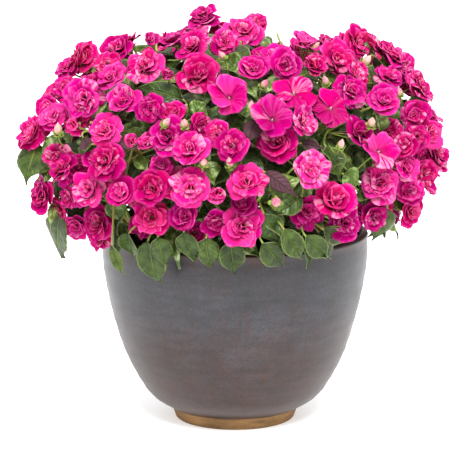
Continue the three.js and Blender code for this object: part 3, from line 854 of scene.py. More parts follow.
def add_petal(pile, ring, turn, radius, draw, thickness):
    """One petal: a fan about its foot, bent up along its length and cupped across it."""
    u, v = span_of(ring.rows, ring.columns, PETAL_CLAW)
    v = v ** 0.85
    vary = PETAL_VARIES
    long = ring.reach * draw.uniform(*vary.length)
    half = math.radians(ring.half * draw.uniform(*vary.width))
    edge = 1 - ring.corner * np.abs(u) ** 3.2 - ring.notch * np.exp(-((u / 0.2) ** 2))
    edge = edge + 0.025 * np.sin(draw.uniform(3, 6) * u + draw.uniform(0, TURN))
    reach = v * long * edge
    side, forth = reach * np.sin(u * half), reach * np.cos(u * half)
    # The midline's radius and height, from its slope along the petal.
    part = np.linspace(0, 1.1, 34)
    low, high = ring.low + draw.uniform(*vary.low), ring.high + draw.uniform(*vary.high)
    slope = low + (high - low) * part ** 1.15
    slope = np.radians(slope - ring.curl * draw.uniform(*vary.curl) * smoothstep(0.55, 1.05, part))
    step = long * (part[1] - part[0])
    middle = (slope[1:] + slope[:-1]) / 2
    out, rise = (np.concatenate(([0], np.cumsum(way(middle)) * step)) for way in (np.cos, np.sin))
    where = forth / long
    tilt = np.interp(where, part, slope)
    # Cup, groove, ruffle and twist, all as a lift along the face's normal.
    cup = ring.cup * draw.uniform(*vary.cup)
    bend = np.clip(cup * side, -2.4, 2.4)
    across, lift = np.sin(bend) / cup, (1 - np.cos(bend)) / cup
    lift = lift - ring.crease * v * np.exp(-((u / 0.22) ** 2))
    ruffle = ring.ruffle * draw.uniform(*vary.ruffle) * (0.12 + v ** 2)
    for waves, share in ((draw.uniform(0.6, 1.3), 1.0), (draw.uniform(1.6, 2.4), 0.5)):
        lift = lift + share * ruffle * np.sin(waves * math.pi * u + draw.uniform(0, TURN) + 2 * v)
    lift = lift + side * math.tan(math.radians(draw.uniform(*ring.twist)))
    x = ring.foot + np.interp(where, part, out) - lift * np.sin(tilt)
    z = ring.foot_height + np.interp(where, part, rise) + lift * np.cos(tilt)
    foot, streaks, chance = draw.uniform(0, 1), draw.uniform(0.6, 1.1), draw.uniform(0, 1)
    add_sheet(pile, turned(x, across, z, turn) * radius, thickness, {
        "along": v, "across": u, "depth": ring.depth,
        "fleck": max(ring.fleck * foot, streaks * (chance < PALE_PETALS)),
        "tone": ring.tone + ring.vary * draw.uniform(-1, 1),
        "hue": ring.hue + draw.uniform(*vary.hue),
    })


def add_calyx(pile, radius, foot, draw):
    """The two sepals and the short tube behind a bloom."""
    heights, radii = np.array(CALYX).T
    add_rod(pile, np.outer(heights + foot, UP) * radius, radii, finish=1, along=0.5)
    u, v = span_of(5, 3)
    for turn in (draw.uniform(0, 1), draw.uniform(3, 4)):
        y = u * (0.13 * np.sin(math.pi * (0.15 + 0.85 * v)) ** 0.8 + 0.01)
        z = foot - 0.07 + 0.09 * v ** 1.5 + 0.03 * u * u
        sepal = turned(0.07 + 0.28 * v, y, z, turn) * radius
        add_sheet(pile, sepal, SEPAL_THICKNESS, {"along": v, "across": u}, finish=1)


def make_bloom(kind, number, bloom, thickness, steady):
    """A bloom of rings of petals, each set between those of the ring outside it. A steady one
    faces just as planned, and the others nod a little."""
    draw = np.random.default_rng([sum(map(ord, kind)), number])
    pile = Pile("along", "across", "depth", "tone", "hue", "fleck", "under")
    rings, radius = RINGS[kind], bloom.width / 2
    vary = BLOOM_VARIES
    tone, hue = draw.uniform(0, 1), draw.uniform(*vary.hue)
    openness, crumpled = draw.uniform(*vary.open), draw.uniform(*vary.crumpled)
    striped = draw.uniform(0, 1) < STRIPED
    turn = draw.uniform(0, TURN)
    for ring in rings[: len(rings) - max(0, bloom.spare - 1)]:
        ring = SimpleNamespace(**{**PETAL, **ring}, tone=tone, hue=hue)
        ring.low, ring.high = ring.low + openness, ring.high + openness
        ring.rows, ring.columns = ring.rows - bloom.spare, ring.columns - bloom.spare
        ring.ruffle *= crumpled
        if striped:
            ring.fleck = 1.1
        for k in range(ring.petals):
            at = turn + TURN * k / ring.petals + draw.uniform(*vary.petal)
            add_petal(pile, ring, at, radius, draw, thickness)
        turn += math.pi / ring.petals + draw.uniform(*vary.ring)
    if kind == "single_bloom":
        column = np.outer((ring.foot_height - 0.02, ring.foot_height + 0.07, 0.03), UP) * radius
        add_rod(pile, column, COLUMN_RADII, fleck=0.9)
    add_calyx(pile, radius, ring.foot_height, draw)
    nod = draw.uniform(*(vary.steady_nod if steady else vary.nod))
    facing = tipped(bloom.facing, draw.uniform(0, 360), nod)
    return pile, axes_for(facing, draw.uniform(0, TURN))


# ---------------------------------------------------------------- leaf blades
# How far leaves stray by chance: in the fold along their midrib and the curl of their edges, and,
# in their lengths, in how they sag, hook at the tip, wave at the edge and bend aside. waves is
# the angle that the waves run through from the stalk to the tip.
LEAF_VARIES = SimpleNamespace(
    fold=(0.08, 0.45), curl=(-0.1, 0.35), sag=(0.08, 0.22), hook=(0, 1.6), wave=(0.02, 0.06),
    waves=(5, 9), aside=(-0.1, 0.1),
)
LEAF_NECK = 0.0011  # least half width of a leaf, at its stalk and tip


def leaf_pile():
    return Pile("along", "across", "tone", "young", "under")


def leaf_swell(part):
    """How wide a leaf is along its length: widest before the middle, drawn out to a tip."""
    return np.sin(math.pi * part ** 0.75) ** 0.82 * (1 - 0.66 * smoothstep(0.54, 0.96, part))


def add_leaf(pile, start, tip, width, outward, draw, thickness, rows, columns, young, tones=(0, 1)):
    """A leaf from its stalk end to its tip, folded along its midrib, drooping and a little wavy."""
    long = np.linalg.norm(tip - start)
    along = (tip - start) / long
    side = square_to(along, outward)
    face = np.cross(side, along)
    u, v = span_of(rows, columns)
    # Every other row stands out at the edge, as blunt teeth.
    teeth = 1 + 0.022 * np.cos(math.pi * np.arange(rows))[:, None] * np.abs(u) ** 6
    half = np.maximum(LEAF_NECK, width / 2 * leaf_swell(np.clip(v, 0, 0.9995))) * teeth
    vary = LEAF_VARIES
    fold, curl = draw.uniform(*vary.fold), draw.uniform(*vary.curl)
    sag, hook = draw.uniform(*vary.sag) * long, draw.uniform(*vary.hook) * long
    wave, waves = draw.uniform(*vary.wave) * long, draw.uniform(*vary.waves)
    x = u * half * (1 - 0.12 * fold)
    z = fold * np.abs(x) - sag * v * (v - 0.35) - hook * np.clip(v - 0.7, 0, None) ** 2
    z = z - curl * x * x / width * 4
    z = z + wave * u * u * np.sin(waves * v + draw.uniform(0, TURN) * np.sign(u))
    z = z + 0.12 * sag * np.sin(5 * v + draw.uniform(0, TURN))
    x = x + draw.uniform(*vary.aside) * long * v * v
    grid = start + x[..., None] * side + (v * long)[..., None] * along + z[..., None] * face
    marks = {"along": v, "across": u, "tone": draw.uniform(*tones), "young": young}
    add_sheet(pile, grid, thickness, marks)


# ---------------------------------------------------------------- materials
def add_node(tree, kind, *inputs, named=None, **settings):
    """Adds a shader node. inputs fill its sockets in use in turn, and named ones by their names.
    Each is a value, a socket, or a node whose first output in use is meant."""
    made = tree.nodes.new("ShaderNode" + kind)
    for name, value in settings.items():
        setattr(made, name, value)
    in_use = [socket for socket in made.inputs if socket.enabled]
    filled = [*zip(in_use, inputs), *((made.inputs[name], value) for name, value in (named or {}).items())]
    for socket, value in filled:
        if isinstance(value, bpy.types.Node):
            value = next(output for output in value.outputs if output.enabled)
        if isinstance(value, bpy.types.NodeSocket):
            tree.links.new(value, socket)
        elif socket.type == "RGBA":
            socket.default_value = (*value, 1.0)
        else:
            socket.default_value = value
    return made


def new_material(name, *marks):
    """An empty material, its function that adds a node, and the mesh's marks that it reads."""
    material = bpy.data.materials.new(name)
    material.use_nodes = True
    material.node_tree.nodes.clear()
    add = partial(add_node, material.node_tree)
    return (material, add, *(add("Attribute", attribute_name=mark).outputs["Fac"] for mark in marks))


def petal_velvet(blooms):
    """Fresh petal: thin, velvety and translucent. Light glows through it, and its face is matt
    with soft veins that run out to a thin edge with a painted highlight, and painted shade at its foot."""
    material, add, along, across, depth, tone, hue, fleck, under = new_material(
        "petal_velvet", "along", "across", "depth", "tone", "hue", "fleck", "under"
    )
    # Veins about 4 mm apart with finer ones between, ten times as coarse as the real ones, or
    # they wouldn't show. Each petal has its own.
    fan = add("Math", across, 3.0, operation="MULTIPLY")
    lengthwise = add("Math", along, 0.8, operation="MULTIPLY")
    apart = add("Math", tone, 37.0, operation="MULTIPLY")
    veins = add("TexNoise", add("CombineXYZ", fan, lengthwise, apart), 1.0, 4.0, 0.66)
    # Each petal lies somewhere between mauve and rose by its hue. It is painted redder the deeper it is in
    # the bloom, as the redder shade of the heart.
    hue_and_heart_shade = add("Math", depth, 0.35, hue, operation="MULTIPLY_ADD")
    bluer = add("MapRange", hue_and_heart_shade, 0.0, 0.5)
    redder = add("MapRange", hue_and_heart_shade, 0.5, 1.0)
    tinted = add("Mix", bluer, blooms.mauve, blooms.face, data_type="RGBA")
    tinted = add("Mix", redder, tinted, blooms.rose, data_type="RGBA")
    light = add("MapRange", tone, -0.2, 1.2, 1.14, 0.42)
    tinted = add("VectorMath", tinted, light, operation="SCALE")
    # It deepens along its veins. Towards its foot it also darkens with painted shade, which stands for the
    # shade under the petals that lap over it and is strongest in the heart of the bloom.
    streak = add("MapRange", veins, 0.46, 0.70, 0.0, 0.50)
    foot = add("MapRange", along, 0.90, 0.30, 0.0, 0.95)
    inner = add("MapRange", depth, 0.0, 0.6, 0.4, 1.0)
    foot = add("Math", foot, inner, operation="MULTIPLY")
    veins_and_foot_shade = add("Math", streak, foot, operation="ADD", use_clamp=True)
    veined = add("Mix", veins_and_foot_shade, tinted, blooms.deep, data_type="RGBA")
    # A painted highlight pales its thin edge, in streaks between the veins. It is weaker on a dark petal and
    # a little weaker deeper in the bloom, and the lightest petals take a painted highlight all over.
    out = add("Math", across, operation="ABSOLUTE")
    sides = add("MapRange", out, 0.88, 1.0, 0.0, 1.0)
    ends = add("MapRange", along, 0.85, 1.0, 0.0, 1.0)
    rim = add("Math", sides, ends, operation="MAXIMUM")
    broken = add("MapRange", veins, 0.36, 0.62, 1.0, 0.15)
    outer = add("MapRange", depth, 0.0, 1.0, 1.0, 0.9)
    bright = add("MapRange", tone, 0.1, 0.9, 1.0, 0.4)
    for less in (broken, outer, bright):
        rim = add("Math", rim, less, operation="MULTIPLY")
    highlight_all_over = add("MapRange", tone, -0.4, 0.35, 0.30, 0.0)
    rim = add("Math", rim, highlight_all_over, operation="MAXIMUM")
    edged = add("Mix", rim, veined, blooms.edge, data_type="RGBA")
    # White streaks along some petals, and a white foot to those in the heart.
    drawn = add("MapRange", veins, 0.53, 0.42, 0.0, 0.75)
    narrow = add("MapRange", along, 0.45, 0.10, 0.0, 0.8)
    white = add("Math", narrow, drawn, operation="MAXIMUM")
    white = add("Math", white, fleck, operation="MULTIPLY", use_clamp=True)
    edged = add("Mix", white, edged, blooms.pale, data_type="RGBA")
    turned_up = add("Math", under, 0.35, operation="MULTIPLY")
    colour = add("Mix", turned_up, edged, blooms.back, data_type="RGBA")
    # Its face ripples with the veins, about 4 mm from one crest to the next.
    bump = add("Bump", named={"Strength": 0.65, "Distance": 0.0024, "Height": veins})
    face = add("BsdfPrincipled", named={
        "Base Color": colour, "Roughness": 0.46, "IOR": 1.42, "Specular IOR Level": 0.01, "Normal": bump,
    })
    through = add("BsdfTranslucent", colour, named={"Normal": bump})
    add("OutputMaterial", add("MixShader", 0.28, face, through))
    return material


def leaf_skin(leaves):
    """Busy lizzie leaf: a waxy skin over soft green flesh. It mirrors the bright surroundings
    softly and has a painted grey sheen in blotches, its veins stand out pale, and some undersides are
    flushed purple."""
    material, add, along, across, tone, young, under = new_material(
        "leaf_skin", "along", "across", "tone", "young", "under"
    )
    # Seven pairs of side veins, 6 to 7 mm apart, that sweep towards the tip.
    out = add("Math", across, operation="ABSOLUTE")
    swept = add("Math", out, -0.22, along, operation="MULTIPLY_ADD")
    sevenfold = add("Math", swept, 7.0, operation="MULTIPLY")
    between = add("Math", sevenfold, 0.5, operation="PINGPONG")
    side_vein = add("MapRange", between, 0.0, 0.14, 0.32, 0.0)
    midrib = add("MapRange", out, 0.02, 0.10, 0.9, 0.0)
    vein = add("Math", side_vein, midrib, operation="MAXIMUM")
    # Blotches about 8 mm wide, some dark. On the lighter leaves some are grey with a painted sheen, which
    # stands for the soft reflection of the waxy skin.
    where = add("TexCoord").outputs["Object"]
    blotch = add("TexNoise", where, 130.0, 5.0)
    green = add("Mix", young, leaves.face, leaves.young, data_type="RGBA")
    clear = add("MapRange", blotch, 0.46, 0.68, 0.0, 0.8)
    film = add("MapRange", tone, 0.2, 1.0, 0.0, 1.0)
    film = add("Math", film, clear, operation="MULTIPLY")
    green = add("Mix", film, green, leaves.waxy, data_type="RGBA")
    dark = add("MapRange", blotch, 0.36, 0.64, 0.46, 1.30)
    # A leaf's tone sets how light it is. The low tones of the leaves under the mound are painted shade.
    shade = add("MapRange", tone, 0.0, 1.0, 0.50, 1.66)
    shade = add("Math", shade, dark, operation="MULTIPLY")
    shaded = add("VectorMath", green, shade, operation="SCALE")
    faint = add("Math", vein, 0.42, operation="MULTIPLY")
    veined = add("Mix", faint, shaded, leaves.vein, data_type="RGBA")
    rim = add("MapRange", out, 0.86, 1.0, 0.0, 0.7)
    edged = add("Mix", rim, veined, leaves.vein, data_type="RGBA")
    flush = add("MapRange", tone, 0.3, 0.6, 0.0, 0.9)
    below = add("Mix", flush, leaves.back, leaves.flush, data_type="RGBA")
    colour = add("Mix", under, edged, below, data_type="RGBA")
    # Its veins lie in grooves, and its underside is duller.
    height = add("Math", vein, -1.0, blotch, operation="MULTIPLY_ADD")
    bump = add("Bump", named={"Strength": 1.0, "Distance": 0.0014, "Height": height})
    duller = add("MapRange", under, 0.0, 1.0, 0.32, 0.62)
    face = add("BsdfPrincipled", named={
        "Base Color": colour, "Roughness": duller, "IOR": 1.5, "Normal": bump,
    })
    add("OutputMaterial", add("MixShader", 0.12, face, add("BsdfTranslucent", leaves.young)))
    return material


def stem_flesh(plant):
    """Watery stem: soft green flesh with a red blush, smooth and a little glossy."""
    material, add = new_material("stem_flesh")
    where = add("TexCoord").outputs["Object"]
    # Patches of blush about 17 mm long, near the joints and between.
    patches = add("TexNoise", where, 60.0, 3.0)
    blush = add("MapRange", patches, 0.48, 0.7, 0.0, 0.6)
    colour = add("Mix", blush, plant.stem, plant.stem_blush, data_type="RGBA")
    bump = add("Bump", named={"Strength": 0.3, "Distance": 0.0004, "Height": patches})
    add("OutputMaterial", add("BsdfPrincipled", named={
        "Base Color": colour, "Roughness": 0.38, "IOR": 1.42, "Normal": bump,
    }))
    return material


def sepal_green(blooms):
    """Sepal: a small waxy scale, pale green with a darker tip."""
    material, add, along = new_material("sepal_green", "along")
    where = add("TexCoord").outputs["Object"]
    # Mottled in patches of 1.4 mm, as fine as it shows.
    patches = add("TexNoise", where, 700.0, 2.0)
    mixed = add("Math", along, patches, operation="MULTIPLY")
    darker = tuple(0.4 * c for c in blooms.sepal)
    colour = add("Mix", mixed, blooms.sepal, darker, data_type="RGBA")
    add("OutputMaterial", add("BsdfPrincipled", named={
        "Base Color": colour, "Roughness": 0.45, "IOR": 1.42,
    }))
    return material


def bud_skin(blooms):
    """Closed bud: overlapping cream petals, greenish below and blushed pink towards the tip."""
    material, add, along, fold, tone = new_material("bud_skin", "along", "across", "tone")
    tip = add("MapRange", along, 0.35, 0.95, 0.05, 0.7)
    blush = add("Math", tip, tone, operation="MULTIPLY")
    lapped = add("MapRange", fold, 0.55, 1.0, 0.0, 0.5)
    blush = add("Math", blush, lapped, operation="ADD", use_clamp=True)
    above = add("MapRange", along, 0.0, 0.5)
    cream = add("Mix", above, blooms.sepal, blooms.cream, data_type="RGBA")
    colour = add("Mix", blush, cream, blooms.back, data_type="RGBA")
    add("OutputMaterial", add("BsdfPrincipled", named={
        "Base Color": colour, "Roughness": 0.42, "IOR": 1.42,
    }))
    return material


# How brown the glaze is up the planter's height, as parts of it, from the foot to the rim.
IRON_STOPS = ((0.0, 1.0), (0.25, 0.85), (0.55, 0.45), (0.75, 0.05), (0.94, 0.20), (1.0, 0.9))


def slate_glaze(planter):
    """Thick reduction glaze on thrown stoneware: slate grey with brown iron where it runs thin,
    mottled and speckled. It is glossy over a faintly uneven surface."""
    material, add = new_material("slate_glaze")
    where = add("TexCoord").outputs["Object"]
    height = add("SeparateXYZ", where).outputs["Z"]
    # Clouds about 35 mm wide, runs 9 mm wide drawn out down the wall, brush strokes 7 mm high
    # drawn out around it, and specks of 2 mm, all coarser than the real ones so that they show.
    clouds = add("TexNoise", where, 28.0, 6.0, 0.62)
    runs = add("TexNoise", add("Mapping", where, named={"Scale": (1.0, 1.0, 0.16)}), 110.0, 4.0)
    strokes = add("TexNoise", add("Mapping", where, named={"Scale": (0.2, 0.2, 1.0)}), 150.0, 5.0)
    specks = add("TexNoise", where, 480.0, 4.0, 0.7)
    # Iron shows at the rim, near the foot and in patches between.
    level = add("MapRange", height, 0.0, planter.height)
    uneven = add("Math", clouds, 0.30, level, operation="MULTIPLY_ADD")
    uneven = add("Math", uneven, 0.15, operation="SUBTRACT")
    iron = add("ValToRGB", uneven)
    stops = iron.color_ramp.elements
    while len(stops) < len(IRON_STOPS):
        stops.new(1.0)
    for stop, (position, share) in zip(stops, IRON_STOPS):
        stop.position, stop.color = position, (share, share, share, 1.0)
    patchy = add("MapRange", runs, 0.35, 0.7, -0.22, 0.22)
    mixed = add("Math", iron, patchy, operation="ADD", use_clamp=True)
    ground = add("Mix", mixed, planter.glaze, planter.glaze_iron, data_type="RGBA")
    lighter = add("MapRange", clouds, 0.3, 0.7, 0.70, 1.24)
    grain = add("MapRange", specks, 0.35, 0.65, 0.70, 1.30)
    brushed = add("MapRange", strokes, 0.3, 0.7, 0.74, 1.22)
    shade = add("Math", lighter, grain, operation="MULTIPLY")
    shade = add("Math", shade, brushed, operation="MULTIPLY")
    colour = add("VectorMath", ground, shade, operation="SCALE")
    rough = add("MapRange", clouds, 0.3, 0.7, 0.30, 0.44)
    # Throwing rings 10 mm apart and pinholes, both under the glaze's smooth skin.
    rings = add("TexWave", where, 31.4, 0.8, 2.0, bands_direction="Z")
    relief = add("Math", rings, 0.25, specks, operation="MULTIPLY_ADD")
    bump = add("Bump", named={"Strength": 0.12, "Distance": 0.0008, "Height": relief})
    add("OutputMaterial", add("BsdfPrincipled", named={
        "Base Color": colour, "Roughness": rough, "IOR": 1.6, "Normal": bump,
    }))
    return material


def bare_clay(planter):
    """Unglazed fired clay: matt and sandy, with darker stains and fine grog."""
    material, add = new_material("bare_clay")
    where = add("TexCoord").outputs["Object"]
    # Stains about 5 mm high that run around the foot, and grog of 1 mm, as real.
    stains = add("TexNoise", add("Mapping", where, named={"Scale": (0.4, 0.4, 2.0)}), 90.0, 6.0)
    grog = add("TexNoise", where, 1100.0, 2.0)
    shade = add("MapRange", stains, 0.35, 0.65, 0.55, 1.02)
    sand = add("MapRange", grog, 0.3, 0.7, 0.8, 1.15)
    level = add("Math", shade, sand, operation="MULTIPLY")
    colour = add("VectorMath", planter.clay, level, operation="SCALE")
    bump = add("Bump", named={"Strength": 0.5, "Distance": 0.0005, "Height": grog})
    add("OutputMaterial", add("BsdfPrincipled", named={
        "Base Color": colour, "Roughness": 0.85, "Normal": bump,
    }))
    return material


def potting_mix(planter):
    """Moist peat and bark: dark crumbs, dull, with lighter fibres."""
    material, add = new_material("potting_mix")
    where = add("TexCoord").outputs["Object"]
    # Crumbs of 3 mm, and fibres about 2 mm thick, coarser than real ones so that they show.
    crumbs = add("TexVoronoi", where, 330.0)
    fibres = add("TexNoise", where, 420.0, 5.0, 0.7)
    shade = add("MapRange", fibres, 0.3, 0.75, 0.5, 2.0)
    colour = add("VectorMath", planter.soil, shade, operation="SCALE")
    height = add("Math", crumbs, fibres, operation="ADD")
    bump = add("Bump", named={"Strength": 1.0, "Distance": 0.002, "Height": height})
    add("OutputMaterial", add("BsdfPrincipled", named={
        "Base Color": colour, "Roughness": 0.95, "Normal": bump,
    }))
    return material


def opal_acrylic():
    """Opal acrylic of a light table: matt white, with a barely visible grain of 3 mm. It glows
    evenly from below, so that shadows on it stay faint."""
    material, add = new_material("opal_acrylic")
    where = add("TexCoord").outputs["Object"]
    level = add("MapRange", add("TexNoise", where, 300.0), 0.0, 1.0, 0.68, 0.71)
    add("OutputMaterial", add("BsdfPrincipled", named={
        "Base Color": add("CombineColor", level, level, level), "Roughness": 0.9,
        "Emission Color": (1.0, 1.0, 1.0), "Emission Strength": 0.40,
    }))
    return material


def cached(make, *settings):
    """A material by the function that makes it, made when it is first needed."""
    return bpy.data.materials.get(make.__name__) or make(*settings)


# ---------------------------------------------------------------- planter and soil
def smooth_outline(points, steps):
    """Radius and height along a smooth curve through the points."""
    points = np.array(points)
    chord = np.concatenate(([0], np.cumsum(np.linalg.norm(np.diff(points, axis=0), axis=1))))
    slope = np.gradient(points, chord, axis=0)
    at = np.linspace(0, chord[-1], steps + 1)
    k = np.clip(np.searchsorted(chord, at, side="right") - 1, 0, len(points) - 2)
    span = (chord[k + 1] - chord[k])[:, None]
    t = (at[:, None] - chord[k][:, None]) / span
    return (
        (2 * t**3 - 3 * t**2 + 1) * points[k] + (t**3 - 2 * t**2 + t) * span * slope[k]
        + (3 * t**2 - 2 * t**3) * points[k + 1] + (t**3 - t**2) * span * slope[k + 1]
    )


def arc(middle, radius, start, end, steps):
    """Points on a circle in the outline's plane, from one angle to another in degrees."""
    angles = np.radians(np.linspace(start, end, steps + 1))
    return np.array(middle) + radius * np.stack((np.cos(angles), np.sin(angles)), axis=1)


def turn_outline(outline, sides):
    """Grid of points of an outline turned about Z."""
    angles = TURN * np.arange(sides) / sides
    radius, height = np.array(outline).T
    level = np.outer(height, np.ones(sides))
    return np.stack((np.outer(radius, np.cos(angles)), np.outer(radius, np.sin(angles)), level), axis=-1)


def inner_outline(outside, wall):
    """The bowl's inside from its floor up, at the wall's thickness from the outside."""
    along = np.gradient(outside, axis=0)
    along /= np.linalg.norm(along, axis=1, keepdims=True)
    inside = outside + wall * np.stack((-along[:, 1], along[:, 0]), axis=1)
    return inside[inside[:, 1] > FLOOR + FLOOR_BEVEL]


class LIZZIE_OT_pot(bpy.types.Operator):
    """Makes the stoneware planter: a thrown bowl with a rolled rim on a bare foot ring"""

    bl_idname = "lizzie.make_pot"
    bl_label = "Planter"

    def execute(self, context):
        planter = context.scene.lizzie_planter
        outside = smooth_outline(BOWL, 30)
        inside = inner_outline(outside, planter.wall)
        half = planter.wall / 2
        rim = arc((planter.rim_radius - half, planter.height - half), half, 12, 168, 10)
        foot_edge = planter.foot_radius - FOOT_TAPER
        under = [(DRAIN_RADIUS, RECESS)]
        under += [(foot_edge - inward, height) for inward, height in FOOT_RING]
        under += [(planter.foot_radius - inward, planter.foot_height - drop) for inward, drop in FOOT_TOP]
        well = [(inside[0][0] - FLOOR_EDGE, FLOOR), (DRAIN_RADIUS, FLOOR)]
        outline = np.concatenate((under, outside, rim, inside[::-1], well))
        # The foot is turned and stays even. Above it, the wall keeps the marks of throwing.
        grid = turn_outline(outline, planter.sides)
        around = TURN * np.arange(planter.sides) / planter.sides
        height = outline[:, 1:]
        swell = THROWN_RINGS * np.sin(height * 620) + THROWN_WAVE * np.sin(3 * around + 40 * height)
        fired = smoothstep(planter.foot_height, planter.foot_height + 0.02, height)
        grid[..., :2] *= 1 + (fired * swell / np.maximum(outline[:, :1], 0.01))[..., None]
        middle = (outline[:, 1] + np.roll(outline[:, 1], -1)) / 2
        bare = (middle < planter.foot_height - GLAZE_LINE) & (np.arange(len(outline)) < len(under))
        pile = Pile()
        faces = grid_faces(len(outline), planter.sides, closed=True, looped=True)
        pile.add(grid.reshape(-1, 3), faces, finish=np.repeat(bare, planter.sides))
        materials = [cached(slate_glaze, planter), cached(bare_clay, planter)]
        pile.shape("stoneware_pot", materials, "stoneware_glaze", replaces=("pot",))
        return {"FINISHED"}


class LIZZIE_OT_soil(bpy.types.Operator):
    """Makes the potting soil, with a crumbly top and loose bits of bark"""

    bl_idname = "lizzie.make_soil"
    bl_label = "Soil"

    def execute(self, context):
        planter = context.scene.lizzie_planter
        draw = np.random.default_rng(11)
        inside = inner_outline(smooth_outline(BOWL, 26), planter.wall + SOIL_GAP)
        inside = inside[inside[:, 1] < planter.soil_top - 0.003]
        edge, bottom = inside[-1][0], FLOOR + SOIL_GAP

        def level(out):
            return planter.soil_top + SOIL_DOME * (1 - (out / edge) ** 2)

        radii = np.linspace(edge - 0.001, SOIL_TIP, 20)
        top = np.stack((radii, level(radii)), axis=1)
        base = [(SOIL_TIP, bottom), (inside[0][0] - FLOOR_EDGE, bottom)]
        grid = turn_outline(np.concatenate((base, inside, top)), SOIL_SIDES)
        relief = SOIL_RELIEF * draw.standard_normal((len(top), SOIL_SIDES))
        grid[-len(top) :, :, 2] += np.minimum(relief, 0.003)
        pile = Pile()
        pile.add_turned(grid)
        for _ in range(CRUMBS):
            out, around = edge * math.sqrt(draw.uniform(0, 0.9)), draw.uniform(0, TURN)
            at = np.array((out * math.cos(around), out * math.sin(around), level(out) + 0.001))
            sizes = draw.uniform(*CRUMB_SIZES, 3)
            lump = turn_outline([(0.05, -1), (0.75, -0.6), (1, 0), (0.7, 0.65), (0.05, 1)], 7)
            lump = lump * (1 + 0.15 * draw.standard_normal(lump.shape[:2])[..., None])
            pile.add_turned(at + (lump * sizes) @ axes_for(unit(draw.standard_normal(3))).T)
        material = cached(potting_mix, planter)
        pile.shape("soil_surface", [material], "potting_soil", replaces=("potting_soil",))
        return {"FINISHED"}


# ---------------------------------------------------------------- stems
class LIZZIE_OT_stems(bpy.types.Operator):
    """Makes the stems, each with its forks, its leafy shoots and the stalks that they carry"""

    bl_idname = "lizzie.make_stems"
    bl_label = "Stems"

    def execute(self, context):
        plant = context.scene.lizzie_plant
        stems = plan_stems(plant)
        draw = np.random.default_rng(5)
        piles = [Pile() for _ in stems]
        steps, swells = np.array(KNUCKLE).T
        for stem, pile in zip(stems, piles):
            taper = np.linspace(*STEM_TAPER, len(stem.route)) * plant.stem_radius
            add_rod(pile, stem.route, taper, sides=10)
            add_rod(pile, stem.fork + np.outer(steps, stem.along), swells * plant.stem_radius, sides=10)
        tips = list(shoot_tips(plant))
        for tip, pointing, _ in tips:
            k = nearest_stem(plant, stems, tip)
            stem = stems[k]
            bend = stem.fork + stem.along * 0.35 * np.linalg.norm(tip - stem.fork)
            route = bezier(stem.fork, bend, tip + pointing * 0.012, 9)
            add_rod(piles[k], route, np.linspace(*SHOOT_RADII, 10), sides=7)
        # What the stalks carry: where each ends, the way it arrives, and its kind.
        carried = []
        blooms = plan_blooms(plant)
        for kind, rings in RINGS.items():
            foot = {**PETAL, **rings[0]}["foot_height"] - STALK_FOOT
            for bloom in getattr(blooms, kind):
                end = bloom.place + bloom.facing * foot * bloom.width / 2
                carried.append((end, bloom.facing, "bloom"))
        for bud in plan_buds(plant):
            carried.append((bud.place - bud.facing * 0.65 * bud.width, bud.facing, "bud"))
        for start, tip, width, outward in plan_leaves(plant, blooms):
            carried.append((start, unit(unit(tip - start) + 0.8 * unit(outward)), "leaf"))
        places = np.array([tip for tip, _, _ in tips])
        for end, arriving, kind in carried:
            straight, radius = STALKS[kind]
            tip, pointing, _ = tips[int(np.argmin(np.linalg.norm(places - end, axis=1)))]
            start = tip - pointing * draw.uniform(0.0, 0.014)
            back = min(straight, np.linalg.norm(end - start) / 2)
            route = bezier(start, end - arriving * back, end, 6)
            pile = piles[nearest_stem(plant, stems, tip)]
            add_rod(pile, route, radius * plant.stalk_radius, sides=6)
        for k, pile in enumerate(piles, start=1):
            replaces = (numbered("stem", k),)
            pile.shape(numbered("branching_stem", k), [cached(stem_flesh, plant)], "stem", replaces=replaces)
        return {"FINISHED"}


# ---------------------------------------------------------------- leaves
class LIZZIE_OT_leaves(bpy.types.Operator):
    """Makes the leaves that hang over the rim and show between the blooms"""

    bl_idname = "lizzie.make_leaves"
    bl_label = "Single leaves"

    def execute(self, context):
        plant, leaves = context.scene.lizzie_plant, context.scene.lizzie_leaves
        carried_by_cad = len(RIM_LEAVES) + len(AROUND_LEAVES)
        planned = plan_leaves(plant, plan_blooms(plant))
        for k, (start, tip, width, outward) in enumerate(planned, start=1):
            draw = np.random.default_rng([31, k])
            pile = leaf_pile()
            # The leaves over and around the rim and the hanging ones are painted dark, as the shade under
            # the mound, and the turned ones purple.
            tones = SHADED_HANGING_TONES if k <= carried_by_cad + len(HANGING_LEAVES) else (0, 1)
            if k > len(planned) - len(TURNED_LEAVES):
                tones = TURNED_TONES
            young = 0.5 if width < YOUNG_LEAF else draw.uniform(0, 0.3)
            add_leaf(pile, start, tip, width, outward, draw, leaves.thickness, 17, 9, young, tones)
            replaces = (numbered("leaf", k),) if k <= carried_by_cad else ()
            pile.shape(numbered("leaf_blade", k), [cached(leaf_skin, leaves)], "leaf", replaces=replaces)
        return {"FINISHED"}


